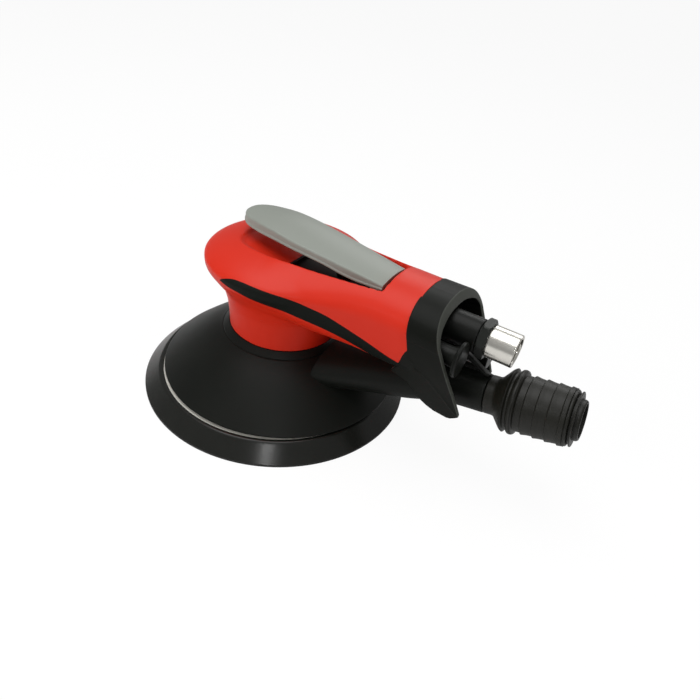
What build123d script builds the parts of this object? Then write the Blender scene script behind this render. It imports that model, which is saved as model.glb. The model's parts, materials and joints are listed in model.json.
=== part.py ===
from build123d import *
import os
from math import cos, hypot, pi, radians, sin, sqrt

# Air-driven random-orbital sander, all sizes in millimetres.
# +X runs along the handle to the rear, +Z is up, and the origin is on the motor axis at the
# height of the pad's working face.

# ---------------------------------------------------------------- driving dimensions
# Pad: 150 mm backing pad, bonded in layers, screwed into the spindle by a moulded-in stud.
pad_radius = 74.2
hook_thickness = 0.8
pad_edge_height = 1.1
pad_lip_radius = 65.9
pad_lip_height = 9.0
pad_lip_width = 1.4
plate_top = 8.6
plate_thickness = 3.0
plate_boss_radius = 16.0
plate_boss_height = 1.9
dust_hole_radius = 5.0
dust_hole_circle = 40.0
dust_hole_count = 6
stud_radius = 3.95
stud_flange_radius = 9.0
stud_flange_thickness = 2.0
stud_reach = 11.0

# Orbit: the spindle runs beside the motor axis.
orbit_offset = 2.5
orbit_angle = 248.0

# Spindle and its bearings.
spindle_radius = 6.0
spindle_flat = 17.0
spindle_flange_thickness = 2.1
bearing_radius = 12.0
bearing_width = 6.0
ball_radius = 1.6
ball_count = 9
spindle_screw_radius = 2.05
spindle_screw_head_radius = 3.6
screw_head_height = 1.5
screw_socket_flat = 2.5
snap_ring_thickness = 0.9
snap_groove = 0.5
washer_radius = 7.4
washer_thickness = 0.8

# Shaft balancer: cup, counterweight and motor shaft in one forging.
cup_wall = 3.4
cup_roof = 2.2
counterweight_radius = 29.0
counterweight_height = 12.5
counterweight_angle = 150.0
shaft_radius = 6.0
shaft_top_radius = 5.0
top_bearing_radius = 11.0
top_ball_radius = 1.5

# Vane motor.
cylinder_radius = 26.0
cylinder_height = 20.0
cylinder_bore_radius = 21.6
cylinder_bore_offset = 1.7
rotor_radius = 19.6
vane_count = 5
vane_thickness = 1.9
vane_depth = 9.3
lower_plate_thickness = 7.6
upper_plate_thickness = 6.6
lock_ring_height = 5.0
lock_ring_bore = 14.5
dowel_radius = 1.5
key_width = 2.9
key_length = 12.0
oring_section = 0.85
port_radius = 2.2
port_angle = 20.0
motor_gap = 0.25
rotor_gap = 0.05
spanner_hole_radius = 2.0
spanner_hole_depth = 3.5

# Housing.
neck_bottom = 37.6
neck_bottom_radius = 29.8
dome_radius = 42.6
dome_widest_height = 76.6
body_top = 92.3
handle_half_width = 24.3
handle_bottom = 53.5
handle_taper_end = 66.0
spigot_radius = 28.4
spigot_length = 6.6
motor_roof = 74.6

# Lever recess, with a deeper black-lined well around the throttle plunger.
recess_floor = 81.5
recess_nose = -18.5
recess_half_width = 17.0
recess_slope = 0.85
recess_rear = 62.0
recess_rear_half_width = 13.3
recess_nose_floor = 85.4
recess_ramp_start = -13.0
well_front = 10.0
well_floor = 78.6
liner_thickness = 1.2
liner_height = 3.2

# Grip strips: rubber let into the sides of the body.
grip_depth = 2.2
strip_inner_edge = 12.0

# End collar, with a slanted mouth and two fins beside the dust duct.
collar_front = 82.4
collar_front_slant = -0.22
collar_mouth = 99.0
collar_mouth_slant = -0.48
collar_half_width = 26.0
collar_top_wall = 4.6
collar_side_wall = 2.3
web_thickness = 4.5
fin_tip_height = 46.0
fin_bottom = 42.3
fin_toe_in = 5.2

# Lever.
lever_front = -26.2
lever_rear = 60.8
lever_half_width = 14.5
lever_rear_half_width = 11.7
lever_crown_radius = 48.0
lever_wall = 2.0
hinge_x = 57.0
hinge_height = 83.5
hinge_pin_radius = 1.5
hinge_hub_radius = 3.2

# Throttle valve.
valve_x = 36.0
valve_bore_radius = 5.5
plunger_radius = 2.4
plunger_rod_radius = 1.5
plunger_top = 88.6
bushing_length = 4.6
feed_room = 3.4
feed_radius = 1.3
seat_thickness = 2.6
seat_bore_radius = 3.3
tip_radius = 4.6
tip_thickness = 3.0
spring_wire = 0.45
spring_radius = 3.3
spring_turns = 4
valve_plug_length = 4.0

# Air inlet.
inlet_height = 77.2
bushing_radius = 8.2
bushing_end = 108.0
nut_flat = 17.0
nut_thickness = 4.0
nut_gap = 0.5
nipple_radius = 7.8
nipple_length = 12.6
nipple_bore_radius = 6.2
nipple_bore_depth = 10.0
tail_radius = 5.4
tail_length = 16.0
air_bore_radius = 3.5
inlet_bore_radius = 5.2
passage_radius = 3.0
passage_x = 66.0

# Speed regulator.
regulator_y = -16.0
regulator_z = 72.1
regulator_disc_radius = 8.5
regulator_disc_thickness = 2.4
regulator_disc_end = 107.2
regulator_stem_radius = 4.6
spool_radius = 3.4
spool_length = 20.0
clip_wire = 0.5

# Exhaust muffler.
muffler_y = 12.0
muffler_z = 61.6
muffler_radius = 6.8
muffler_wall = 1.4
muffler_end = 113.0
muffler_neck_radius = 4.6

# Shroud and its dust duct.
shroud_edge_radius = 65.7
shroud_edge_height = 10.2
shroud_top_radius = 33.9
shroud_top_height = 34.0
shroud_bulge = 1.2
shroud_wall = 2.2
duct_wall = 1.7
duct_mouth_x = 119.4
duct_radius = 9.3
duct_slope = 0.185
duct_height_at_mouth = 49.45

# Duct latch.
latch_width = 3.6
latch_thickness = 2.4
latch_bend_x = 104.5
latch_height = 65.0
latch_foot_thickness = 1.3
latch_foot_length = 2.4
latch_foot_setback = 1.2

# Hose adapter on the duct, measured along the duct's axis from the duct's mouth.
adapter_gap = 0.4
adapter_cone_start = 5.0
adapter_cone_end = 10.6
adapter_edge_radius = 15.3
adapter_bead_radius = 15.5
adapter_bead_centre = 14.3
adapter_barrel_radius = 13.2
tooth_height = 0.8
tooth_pitch = 5.4
tooth_count = 4
adapter_spigot_length = 11.0
adapter_bore_radius = 5.6
seal_section = 0.6
sleeve_radius = 9.5
sleeve_wall = 1.5
sleeve_reach = 2.4

# Clearances.
slip_fit = 0.05
running_fit = 0.03
seat_gap = 0.3
joint_gap = 0.3

# ---------------------------------------------------------------- places that follow from them
spindle_x = orbit_offset * cos(radians(orbit_angle))
spindle_y = orbit_offset * sin(radians(orbit_angle))
plate_bottom = plate_top - plate_thickness
boss_top = plate_top + plate_boss_height
spindle_bottom = boss_top
spindle_shoulder = spindle_bottom + spindle_flange_thickness
cup_bottom = spindle_shoulder + joint_gap
spindle_bearing_bottom = cup_bottom + snap_groove + snap_ring_thickness + 0.2
spindle_bearing_top = spindle_bearing_bottom + 2 * bearing_width
screw_room_top = spindle_bearing_top + washer_thickness + screw_head_height + joint_gap
cup_top = screw_room_top + cup_roof
cup_radius = bearing_radius + cup_wall

lock_ring_top = neck_bottom - 0.1
lower_plate_bottom = lock_ring_top
cylinder_bottom = lower_plate_bottom + lower_plate_thickness
cylinder_top = cylinder_bottom + cylinder_height
upper_plate_top = cylinder_top + upper_plate_thickness
lower_bearing_bottom = lower_plate_bottom + 0.9
upper_bearing_bottom = cylinder_top + 1.0
upper_bearing_top = upper_bearing_bottom + bearing_width
shaft_top = upper_bearing_top + snap_ring_thickness + 0.5
motor_bore_radius = cylinder_radius + motor_gap

well_half_width = recess_half_width - 0.8
hub_half_length = lever_rear_half_width - 0.5
pin_half_length = recess_rear_half_width + 2.6

bushing_bottom = well_floor - bushing_length
seat_top = bushing_bottom - feed_room
seat_bottom = seat_top - seat_thickness
tip_top = seat_bottom - 0.1
tip_bottom = tip_top - tip_thickness
valve_plug_bottom = handle_bottom + 0.6
spring_bottom = valve_plug_bottom + valve_plug_length
spring_height = tip_bottom - spring_bottom

bushing_neck_radius = bushing_radius - 1.6
bushing_start = collar_front - 13
nut_start = bushing_end + nut_gap
nut_end = nut_start + nut_thickness
nipple_start = nut_end + nut_gap
nipple_end = nipple_start + nipple_length
tail_start = nipple_start - tail_length

duct_bore = duct_radius - duct_wall
adapter_spigot_radius = duct_bore - seat_gap


def front_plane_x(z):
    return collar_front + collar_front_slant * (z - inlet_height)


def mouth_plane_x(z):
    return collar_mouth + collar_mouth_slant * (z - inlet_height)


# ---------------------------------------------------------------- shape helpers
def ring(outer, inner, bottom, top, x=0.0, y=0.0):
    """Tube standing along Z between two heights."""
    height = top - bottom
    tube = Cylinder(outer, height, align=(Align.CENTER, Align.CENTER, Align.MIN))
    if inner > 0:
        tube -= Cylinder(inner, height, align=(Align.CENTER, Align.CENTER, Align.MIN))
    return Pos(x, y, bottom) * tube


def rod(radius, start, end, y=0.0, z=0.0):
    """Round bar along X between two stations."""
    bar = Cylinder(radius, end - start, align=(Align.CENTER, Align.CENTER, Align.MIN))
    return Pos(start, y, z) * Rot(0, 90, 0) * bar


def turned(points):
    """Solid of revolution about Z from a closed outline of (radius, height) corners."""
    return revolve(Plane.XZ * make_face(Polyline(*points, close=True)), axis=Axis.Z)


def hexagon(flat, bottom, top, x=0.0, y=0.0):
    """Hexagonal prism along Z, given across its flats."""
    outline = RegularPolygon(flat / sqrt(3), 6)
    return Pos(x, y, bottom) * extrude(outline, top - bottom)


def side_prism(points, half_width):
    """Prism across the body from an outline seen from the side, as (x, z) corners."""
    outline = Plane.XZ * make_face(Polyline(*points, close=True))
    return extrude(outline, half_width, both=True)


def solids(shape):
    """The shape's solids as a compound, so that a node holds nothing but solids."""
    return Compound(children=list(shape.solids()))


def section(x, half_width, rise, drop, top_power, low_power):
    """Closed rounded section across the handle at station x, about its widest level."""
    points = []
    steps = 28
    for i in range(steps):
        a = 2 * pi * i / steps
        up = sin(a) >= 0
        power = top_power if up else low_power
        reach = rise if up else drop
        c = abs(cos(a)) ** (2 / power)
        s = abs(sin(a)) ** (2 / power)
        y = half_width * (c if cos(a) >= 0 else -c)
        z = dome_widest_height + (reach * s if up else -reach * s)
        points.append((x, y, z))
    return make_face(Spline(*points, periodic=True))


# ---------------------------------------------------------------- housing
def dome(inset):
    """Neck and dome turned in one piece; the lists give shares of the swell and of the height."""
    swell = dome_radius - neck_bottom_radius
    rise = dome_widest_height - neck_bottom
    crown = body_top - dome_widest_height
    below = [(0, 0), (0.03, 0.16), (0.09, 0.34), (0.17, 0.47), (0.34, 0.63), (0.72, 0.81), (0.96, 0.93)]
    above = [(0.97, 0.2), (0.89, 0.35), (0.8, 0.48), (0.7, 0.6), (0.59, 0.72), (0.28, 0.94)]
    points = [(neck_bottom_radius + swell * r - inset, 0, neck_bottom + rise * z) for r, z in below]
    points.append((dome_radius - inset, 0, dome_widest_height))
    points += [((dome_radius - inset) * r, 0, dome_widest_height + (crown - inset) * z) for r, z in above]
    points.append((0, 0, body_top - inset))
    skin = Spline(*points, tangents=((0.05, 0, 1), (-1, 0, 0)))
    base = [Line((0, 0, body_top - inset), (0, 0, neck_bottom)), Line((0, 0, neck_bottom), points[0])]
    return revolve(make_face([skin] + base), axis=Axis.Z)


def handle(inset):
    """Handle as one loft of rounded sections from inside the dome to behind the collar's front."""
    faces = []
    reach = collar_front + 10
    for share in (0.0, 0.17, 0.33, 0.46, 0.6, 0.75, 1.0):
        x = reach * share
        taper = cos(pi / 2 * min(x / handle_taper_end, 1.0)) ** 2
        half = handle_half_width + (dome_radius - 3.5 - handle_half_width) * taper
        lift = 4.5 * max(0.0, 1 - x / valve_x)
        low_power = 2 + 2 * min(x / handle_taper_end, 1.0)
        top_power = 1.6 + 0.55 * min(max(x - 24, 0) / (handle_taper_end - 24), 1.0)
        rise = body_top - dome_widest_height
        drop = dome_widest_height - handle_bottom - lift
        faces.append(section(x, half - inset, rise - inset, drop - inset, top_power, low_power))
    return loft(faces)


def body_envelope(inset):
    return dome(inset) + handle(inset)


def recess_outline(z, grow):
    """Lever recess in plan at one height: a round nose and straight sides to the rear wall."""
    wide = recess_half_width + grow
    nose = recess_nose - grow
    rear = recess_rear_half_width + 0.35 * grow
    front = Spline(
        (well_front, wide, z),
        (nose + 6, wide * 0.9, z),
        (nose, 0, z),
        (nose + 6, -wide * 0.9, z),
        (well_front, -wide, z),
        tangents=((-1, 0, 0), (1, 0, 0)),
    )
    near = Line((well_front, -wide, z), (recess_rear, -rear, z))
    back = Line((recess_rear, -rear, z), (recess_rear, rear, z))
    far = Line((recess_rear, rear, z), (well_front, wide, z))
    return make_face([front, near, back, far])


def well_outline(bottom, top, inset):
    """Deep part of the recess, from just behind the nose pocket to the rear wall."""
    wide = well_half_width - inset
    rear = recess_rear_half_width - inset
    points = [(well_front + inset, -wide), (recess_rear - inset, -rear)]
    points += [(recess_rear - inset, rear), (well_front + inset, wide)]
    return Pos(0, 0, bottom) * extrude(make_face(Polyline(*points, close=True)), top - bottom)


recess_height = body_top + 4 - recess_floor
recess_top = recess_outline(recess_floor + recess_height, recess_slope * recess_height)
recess = loft([recess_outline(recess_floor, 0.0), recess_top])
nose_ramp = [(-60, 60), (-60, recess_nose_floor), (recess_ramp_start, recess_nose_floor)]
nose_ramp += [(well_front - 0.5, recess_floor), (well_front - 0.5, 60)]
recess -= side_prism(nose_ramp, 60)
well = well_outline(well_floor, recess_floor + 0.5, 0.0)

# Side outlines of the grip strip: its upper and lower edges from the front tip to the collar.
grip_upper = [(-10.5, 76.0), (-7.5, 78.2), (-2.5, 79.8), (3.5, 80.1), (10.0, 79.8), (18.0, 79.0)]
grip_upper += [(25.0, 77.8), (33.0, 75.6), (42.0, 73.3), (50.0, 70.3), (58.0, 67.5), (67.0, 65.0)]
grip_upper += [(77.0, 62.4), (90.0, 61.0)]
grip_lower = [(90.0, 50.0), (74.0, 53.0), (64.0, 57.5), (50.0, 62.0), (40.0, 64.9), (32.0, 66.8)]
grip_lower += [(24.5, 68.6), (17.0, 70.4), (10.0, 72.4), (2.5, 74.4), (-4.4, 75.0)]


def grip_region():
    """Prism that cuts the strip on the -Y side out of the body's skin."""
    upper = Spline(*[(x, 0, z) for x, z in grip_upper])
    lower = Spline(*[(x, 0, z) for x, z in grip_lower])
    end = Line((grip_upper[-1][0], 0, grip_upper[-1][1]), (grip_lower[0][0], 0, grip_lower[0][1]))
    tip = Line((grip_lower[-1][0], 0, grip_lower[-1][1]), (grip_upper[0][0], 0, grip_upper[0][1]))
    return Pos(0, -strip_inner_edge, 0) * extrude(make_face([upper, end, lower, tip]), 60, dir=(0, -1, 0))


# ---------------------------------------------------------------- collar
def collar_section(x, half_width, top, bottom):
    """Arch across the collar: crowned top, round shoulders and legs that toe in below."""
    shoulder = inlet_height + 2
    legs = [(half_width - fin_toe_in, bottom), (half_width - 0.55 * fin_toe_in, 56.0)]
    legs.append((half_width - 0.12 * fin_toe_in, 69.0))
    arch = [(half_width, shoulder), (0.86 * half_width, top - 6.2), (0.5 * half_width, top - 1.4)]
    right = legs + arch
    left = [(-y, z) for y, z in reversed(right)]
    points = [(x, y, z) for y, z in right + [(0, top)] + left]
    return make_face([Spline(*points), Line(points[-1], points[0])])


def collar_block(inset_side, inset_top):
    """Solid arch from ahead of the collar's front to behind its fins."""
    back = mouth_plane_x(fin_bottom) + 4
    top = body_top - 0.3 - inset_top
    front_width = handle_half_width + 0.1 - inset_side
    rear_width = collar_half_width + 0.6 - inset_side
    front = collar_section(collar_front - 8, front_width, top, fin_bottom - 4)
    rear = collar_section(back, rear_width, top, fin_bottom - 4)
    return loft([front, rear])


above = body_top + 4
collar_side = [(front_plane_x(above), above), (front_plane_x(70.5), 70.5), (81.6, 67.5), (80.6, 61.5)]
collar_side += [(75.5, 54.0), (86.0, 52.0), (93.5, 45.0), (101.0, fin_bottom), (110.0, fin_bottom + 0.4)]
collar_side += [(mouth_plane_x(fin_tip_height), fin_tip_height), (mouth_plane_x(above), above)]

collar_shell = collar_block(0, 0) - collar_block(collar_side_wall, collar_top_wall)
collar_shell = collar_shell & side_prism(collar_side, 60)
web_bottom = handle_bottom + 1.5
web_side = [(front_plane_x(z), z) for z in (body_top, web_bottom)]
web_side += [(front_plane_x(z) + web_thickness, z) for z in (web_bottom, body_top)]
web = collar_block(0.5 * collar_side_wall, 0.5 * collar_top_wall) & side_prism(web_side, 60)
end_collar = collar_shell + web
end_collar -= rod(bushing_neck_radius + slip_fit, 70, 110, 0, inlet_height)
end_collar -= rod(spool_radius + running_fit, 60, 110, regulator_y, regulator_z)
end_collar -= rod(muffler_neck_radius + slip_fit, 70, 110, muffler_y, muffler_z)

# ---------------------------------------------------------------- housing, cut out
body = body_envelope(0.0)
front_side = [(front_plane_x(100), 100), (front_plane_x(30), 30), (-80, 30), (-80, 100)]
body = body & side_prism(front_side, 60)
collar_space = collar_block(0, 0) & side_prism(collar_side, 60)
near_pocket = grip_region() - body_envelope(grip_depth)
near_strip = (body & near_pocket) - collar_space
grip_strips = near_strip + mirror(near_strip, about=Plane.XZ)
housing = body - near_pocket - mirror(near_pocket, about=Plane.XZ) - collar_space
housing += ring(spigot_radius, motor_bore_radius, neck_bottom - spigot_length, neck_bottom)
housing -= ring(motor_bore_radius, 0, neck_bottom - spigot_length - 1, motor_roof)
housing -= recess
housing -= well
housing -= ring(valve_bore_radius, 0, handle_bottom - 3, well_floor + 1, valve_x)
chamber_height = tip_bottom - 1.5
housing -= rod(inlet_bore_radius, passage_x - 2.5, collar_front, 0, inlet_height)
housing -= rod(bushing_neck_radius + slip_fit, bushing_start - 1, collar_front + 12, 0, inlet_height)
housing -= ring(passage_radius, 0, chamber_height - passage_radius, inlet_height, passage_x)
housing -= rod(passage_radius, valve_x, passage_x, 0, chamber_height)
housing -= rod(feed_radius, motor_bore_radius - 2, valve_x, 0, seat_top + 0.6 * feed_room)
housing -= rod(spool_radius + running_fit, collar_front - 16, collar_front + 12, regulator_y, regulator_z)
housing -= rod(muffler_neck_radius + slip_fit, motor_bore_radius - 8, collar_front + 12, muffler_y, muffler_z)
pin_bore_radius = hinge_pin_radius + slip_fit
pin_bore = Cylinder(pin_bore_radius, 60, align=(Align.CENTER, Align.CENTER, Align.MIN))
housing -= Pos(hinge_x, -pin_half_length, hinge_height) * Rot(-90, 0, 0) * pin_bore
dowel_x = -(cylinder_bore_radius - cylinder_bore_offset + cylinder_radius) / 2
dowel_bottom = lower_plate_bottom + 2
dowel_top = motor_roof + 2.5
housing -= ring(dowel_radius + slip_fit, 0, motor_roof - 1, dowel_top + 0.5, dowel_x)

well_liner = well_outline(well_floor, well_floor + liner_height, 0.1)
well_liner -= well_outline(well_floor + liner_thickness, well_floor + liner_height + 1, 0.1 + liner_thickness)
well_liner -= ring(valve_bore_radius + slip_fit, 0, well_floor - 1, well_floor + 3, valve_x)

# ---------------------------------------------------------------- lever
lever_ridge = [(-32.0, 94.3), (-25.0, 96.0), (-12.0, 97.4), (0.0, 97.5), (20.0, 95.4), (40.0, 92.9)]
lever_ridge.append((64.0, 89.8))


def ridge_height(x):
    for (xa, za), (xb, zb) in zip(lever_ridge, lever_ridge[1:]):
        if x <= xb:
            return za + (zb - za) * (x - xa) / (xb - xa)
    return lever_ridge[-1][1]


def crowned_block(drop, base):
    """Block whose top follows the lever's ridge line and falls off to both sides on a large arc."""
    faces = []
    wide = 24.0
    sag = lever_crown_radius - sqrt(lever_crown_radius ** 2 - wide ** 2)
    for x, z in lever_ridge:
        top = z - drop
        arc = ThreePointArc((x, -wide, top - sag), (x, 0, top), (x, wide, top - sag))
        sides = Polyline((x, wide, top - sag), (x, wide, base), (x, -wide, base), (x, -wide, top - sag))
        faces.append(make_face([arc, sides]))
    return loft(faces)


def lever_plan(inset, bottom, top):
    """Lever seen from above: widest a third of the way back, rounded at the front."""
    wide = lever_half_width - inset
    rear = lever_rear_half_width - inset
    tip = lever_front + inset
    side = [(lever_rear, rear), (48.0, rear + 0.27 * (wide - rear)), (34.0, rear + 0.6 * (wide - rear))]
    side += [(20.0, 0.985 * wide), (8.0, wide), (-4.0, 0.935 * wide), (-12.0, 0.84 * wide)]
    side += [(-19.0, 0.73 * wide), (tip + 2.6, 0.5 * wide), (tip, 0)]
    points = side + [(x, -y) for x, y in reversed(side[:-1])]
    rim = Spline(*[(x, y, 0) for x, y in points])
    outline = make_face([rim, Line((lever_rear, -rear, 0), (lever_rear, rear, 0))])
    return Pos(0, 0, bottom) * extrude(outline, top - bottom)


lever_hem = [(-32.0, 93.2), (-22.0, 91.5), (-12.0, 90.9), (0.0, 91.0), (10.0, 90.4), (20.0, 89.6)]
lever_hem += [(30.0, 88.5), (40.0, 86.8), (50.0, 86.1), (64.0, 86.6)]
above_hem = side_prism(lever_hem + [(70, 110), (-40, 110)], 40)
lever_outer = crowned_block(0, 60) & lever_plan(0, 60, 110) & above_hem
lever_inner = crowned_block(lever_wall, 60) & lever_plan(lever_wall, 60, 110)
lever_inner -= Pos(lever_rear - 5, 0, 90) * Box(10, 60, 60)
lever_body = lever_outer - lever_inner
hub = Pos(hinge_x, 0, hinge_height) * Rot(90, 0, 0) * Cylinder(hinge_hub_radius, 2 * hub_half_length)
hub_web = Pos(hinge_x, 0, hinge_height + 2.2) * Box(2 * hinge_hub_radius, 2 * hub_half_length, 4.4)
contact_boss = ring(3.2, 0, plunger_top + seat_gap, ridge_height(valve_x) - 1, valve_x)
pin_hole = Pos(hinge_x, 0, hinge_height) * Rot(90, 0, 0) * Cylinder(hinge_pin_radius + running_fit, 80)
lever = lever_body + hub + hub_web + contact_boss - pin_hole
pin_length = 2 * pin_half_length
lever_pin = Pos(hinge_x, 0, hinge_height) * Rot(90, 0, 0) * Cylinder(hinge_pin_radius, pin_length)

# ---------------------------------------------------------------- throttle valve
plunger = ring(plunger_radius, 0, bushing_bottom + 0.2, plunger_top - 0.8, valve_x)
plunger_nose = Cone(plunger_radius, plunger_radius - 0.8, 0.8, align=(Align.CENTER, Align.CENTER, Align.MIN))
plunger += Pos(valve_x, 0, plunger_top - 0.8) * plunger_nose
plunger += ring(plunger_rod_radius, 0, tip_bottom + 0.4, bushing_bottom + 0.3, valve_x)
valve_fit = valve_bore_radius - slip_fit
plunger_bushing = ring(valve_fit, plunger_radius + running_fit, bushing_bottom, well_floor, valve_x)
valve_seat = ring(valve_fit, seat_bore_radius, seat_bottom, seat_top, valve_x)
valve_tip = ring(tip_radius, plunger_rod_radius, tip_bottom, tip_top, valve_x)
valve_tip += ring(tip_radius - 1.5, 0, tip_bottom, tip_bottom + 0.4, valve_x)
valve_plug = ring(valve_fit, 0, valve_plug_bottom, spring_bottom, valve_x)
valve_plug -= hexagon(4.0, valve_plug_bottom - 1, valve_plug_bottom + 2.2, valve_x)
coil_height = spring_height - 2 * spring_wire
coil = Helix(coil_height / spring_turns, coil_height, spring_radius)
wire = Plane(origin=coil @ 0, z_dir=coil % 0) * Circle(spring_wire)
throttle_spring = Pos(valve_x, 0, spring_bottom + spring_wire) * sweep(wire, path=coil)

# ---------------------------------------------------------------- pad
dust_holes = []
for i in range(dust_hole_count):
    a = radians(360 / dust_hole_count * i)
    x = spindle_x + dust_hole_circle * cos(a)
    y = spindle_y + dust_hole_circle * sin(a)
    dust_holes.append(ring(dust_hole_radius, 0, -1, plate_top + 1, x, y))

plate_radius = pad_lip_radius - pad_lip_width
at_spindle = Pos(spindle_x, spindle_y, 0)
pad_hook_face = at_spindle * ring(pad_radius, 0, 0, hook_thickness)
foam_outline = [(0, hook_thickness), (pad_radius, hook_thickness), (pad_radius, pad_edge_height)]
foam_outline += [(pad_lip_radius, pad_lip_height), (plate_radius, pad_lip_height)]
foam_outline += [(plate_radius, plate_bottom), (0, plate_bottom)]
pad_foam = at_spindle * turned(foam_outline)
pad_plate = at_spindle * ring(plate_radius, 0, plate_bottom, plate_top)
pad_plate += at_spindle * ring(plate_boss_radius, 0, plate_top, boss_top)
stud_pocket_top = plate_bottom + stud_flange_thickness
pad_plate -= at_spindle * ring(stud_flange_radius, 0, plate_bottom - 1, stud_pocket_top)
pad_plate -= at_spindle * ring(stud_radius + slip_fit, 0, plate_bottom, boss_top + 1)
pad_stud = at_spindle * ring(stud_flange_radius, 0, plate_bottom, stud_pocket_top)
pad_stud += at_spindle * ring(stud_radius, 0, stud_pocket_top, boss_top + stud_reach)
for hole in dust_holes:
    pad_hook_face -= hole
    pad_foam -= hole
    pad_plate -= hole

# ---------------------------------------------------------------- spindle and bearings
journal_top = spindle_bearing_top - 0.1
spindle = hexagon(spindle_flat, spindle_bottom, spindle_shoulder, spindle_x, spindle_y)
spindle += at_spindle * ring(spindle_radius, 0, spindle_shoulder, journal_top)
spindle -= at_spindle * ring(stud_radius + slip_fit, 0, spindle_bottom - 1, boss_top + stud_reach + 0.5)
spindle -= at_spindle * ring(spindle_screw_radius + slip_fit, 0, boss_top + stud_reach, journal_top + 1)
washer_bottom = spindle_bearing_top + slip_fit
screw_seat = washer_bottom + washer_thickness
spindle_washer = at_spindle * ring(washer_radius, spindle_screw_radius + slip_fit, washer_bottom, screw_seat)
spindle_screw = at_spindle * ring(spindle_screw_radius, 0, boss_top + stud_reach + 0.6, screw_seat)
spindle_screw += at_spindle * ring(spindle_screw_head_radius, 0, screw_seat, screw_seat + screw_head_height)
spindle_screw -= at_spindle * hexagon(screw_socket_flat, screw_seat + 0.3, screw_seat + 3)


def bearing(x, y, bottom, bore, outer, ball):
    """Ball bearing: two races and the balls between them."""
    pitch = (bore + outer) / 2
    pieces = [ring(outer, pitch + ball + 0.01, bottom, bottom + bearing_width, x, y)]
    pieces.append(ring(pitch - ball - 0.01, bore, bottom, bottom + bearing_width, x, y))
    for i in range(ball_count):
        a = radians(360 / ball_count * i)
        bx = x + pitch * cos(a)
        by = y + pitch * sin(a)
        pieces.append(Pos(bx, by, bottom + bearing_width / 2) * Sphere(ball))
    return pieces


race_bore = spindle_radius + running_fit
spindle_bearings = []
for bottom in (spindle_bearing_bottom, spindle_bearing_bottom + bearing_width):
    spindle_bearings += bearing(spindle_x, spindle_y, bottom, race_bore, bearing_radius, ball_radius)
race_bore = shaft_radius + running_fit
lower_motor_bearing = bearing(0, 0, lower_bearing_bottom, race_bore, bearing_radius, ball_radius)
race_bore = shaft_top_radius + running_fit
upper_motor_bearing = bearing(0, 0, upper_bearing_bottom, race_bore, top_bearing_radius, top_ball_radius)


def snap_ring(outer, inner, bottom, x=0.0, y=0.0, gap_angle=90.0):
    """Flat retaining ring with its gap at the given angle."""
    band = ring(outer, inner, bottom, bottom + snap_ring_thickness, x, y)
    mid = (outer + inner) / 2
    a = radians(gap_angle)
    slot = Pos(x + mid * cos(a), y + mid * sin(a), bottom + snap_ring_thickness / 2)
    return band - slot * Rot(0, 0, gap_angle) * Box(3 * (outer - inner), 3.0, 3 * snap_ring_thickness)


cup_ring_outer = bearing_radius + snap_groove
cup_ring_bottom = cup_bottom + snap_groove + 0.1
cup_snap_ring = snap_ring(cup_ring_outer, bearing_radius - 1.6, cup_ring_bottom, spindle_x, spindle_y)
shaft_ring_inner = shaft_top_radius - snap_groove
shaft_snap_ring = snap_ring(shaft_top_radius + 1.4, shaft_ring_inner, upper_bearing_top + 0.1)

# ---------------------------------------------------------------- shaft balancer
balancer = at_spindle * ring(cup_radius, 0, cup_bottom, cup_top)
weight_top = cup_bottom + 2 + counterweight_height
weight = ring(counterweight_radius, 0, cup_bottom + 2, weight_top)
heavy_side = orbit_angle + 180
half_turn = counterweight_angle / 2
edge_a = radians(heavy_side - half_turn)
edge_b = radians(heavy_side + half_turn)
far = 2 * counterweight_radius
wedge = [(0, 0), (far * cos(edge_a), far * sin(edge_a))]
wedge += [(far * 1.6 * cos(radians(heavy_side)), far * 1.6 * sin(radians(heavy_side)))]
wedge += [(far * cos(edge_b), far * sin(edge_b))]
weight = weight & Pos(0, 0, cup_bottom) * extrude(make_face(Polyline(*wedge, close=True)), 40)
balancer += weight
balancer -= at_spindle * ring(bearing_radius, 0, cup_bottom - 1, spindle_bearing_top)
cup_groove_top = cup_bottom + snap_groove + snap_ring_thickness + 0.2
balancer -= at_spindle * ring(cup_ring_outer, 0, cup_bottom + snap_groove, cup_groove_top)
balancer -= at_spindle * ring(washer_radius + 1, 0, spindle_bearing_top - 1, screw_room_top)
balancer += ring(shaft_radius, 0, cup_top - 1, cylinder_top - rotor_gap)
balancer += ring(shaft_top_radius, 0, cylinder_top - 1, shaft_top)
shaft_groove_top = upper_bearing_top + 0.15 + snap_ring_thickness
balancer -= ring(shaft_top_radius + 1, shaft_ring_inner, upper_bearing_top + 0.05, shaft_groove_top)
key_middle = (cylinder_bottom + cylinder_top) / 2
key_angle = 180 / vane_count
key_place = Rot(0, 0, key_angle) * Pos(shaft_radius, 0, key_middle)
balancer -= key_place * Box(2.4, key_width + 2 * slip_fit, key_length + 2 * slip_fit)
rotor_key = key_place * Box(2.3, key_width, key_length)

# ---------------------------------------------------------------- motor
rotor = ring(rotor_radius, shaft_radius + running_fit, cylinder_bottom + rotor_gap, cylinder_top - rotor_gap)
rotor -= key_place * Box(2.4, key_width + 2 * slip_fit, 2 * cylinder_height)
vanes = []
slot_depth = vane_depth + 0.2
for i in range(vane_count):
    turn = Rot(0, 0, 360 / vane_count * i)
    slot_width = vane_thickness + 2 * slip_fit
    slot_place = Pos(rotor_radius - slot_depth + 5, 0, key_middle)
    rotor -= turn * slot_place * Box(10, slot_width, 2 * cylinder_height)
    vane_height = cylinder_height - 4 * rotor_gap
    vane_middle = rotor_radius - 0.05 - vane_depth / 2
    vanes.append(turn * Pos(vane_middle, 0, key_middle) * Box(vane_depth, vane_thickness, vane_height))

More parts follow.
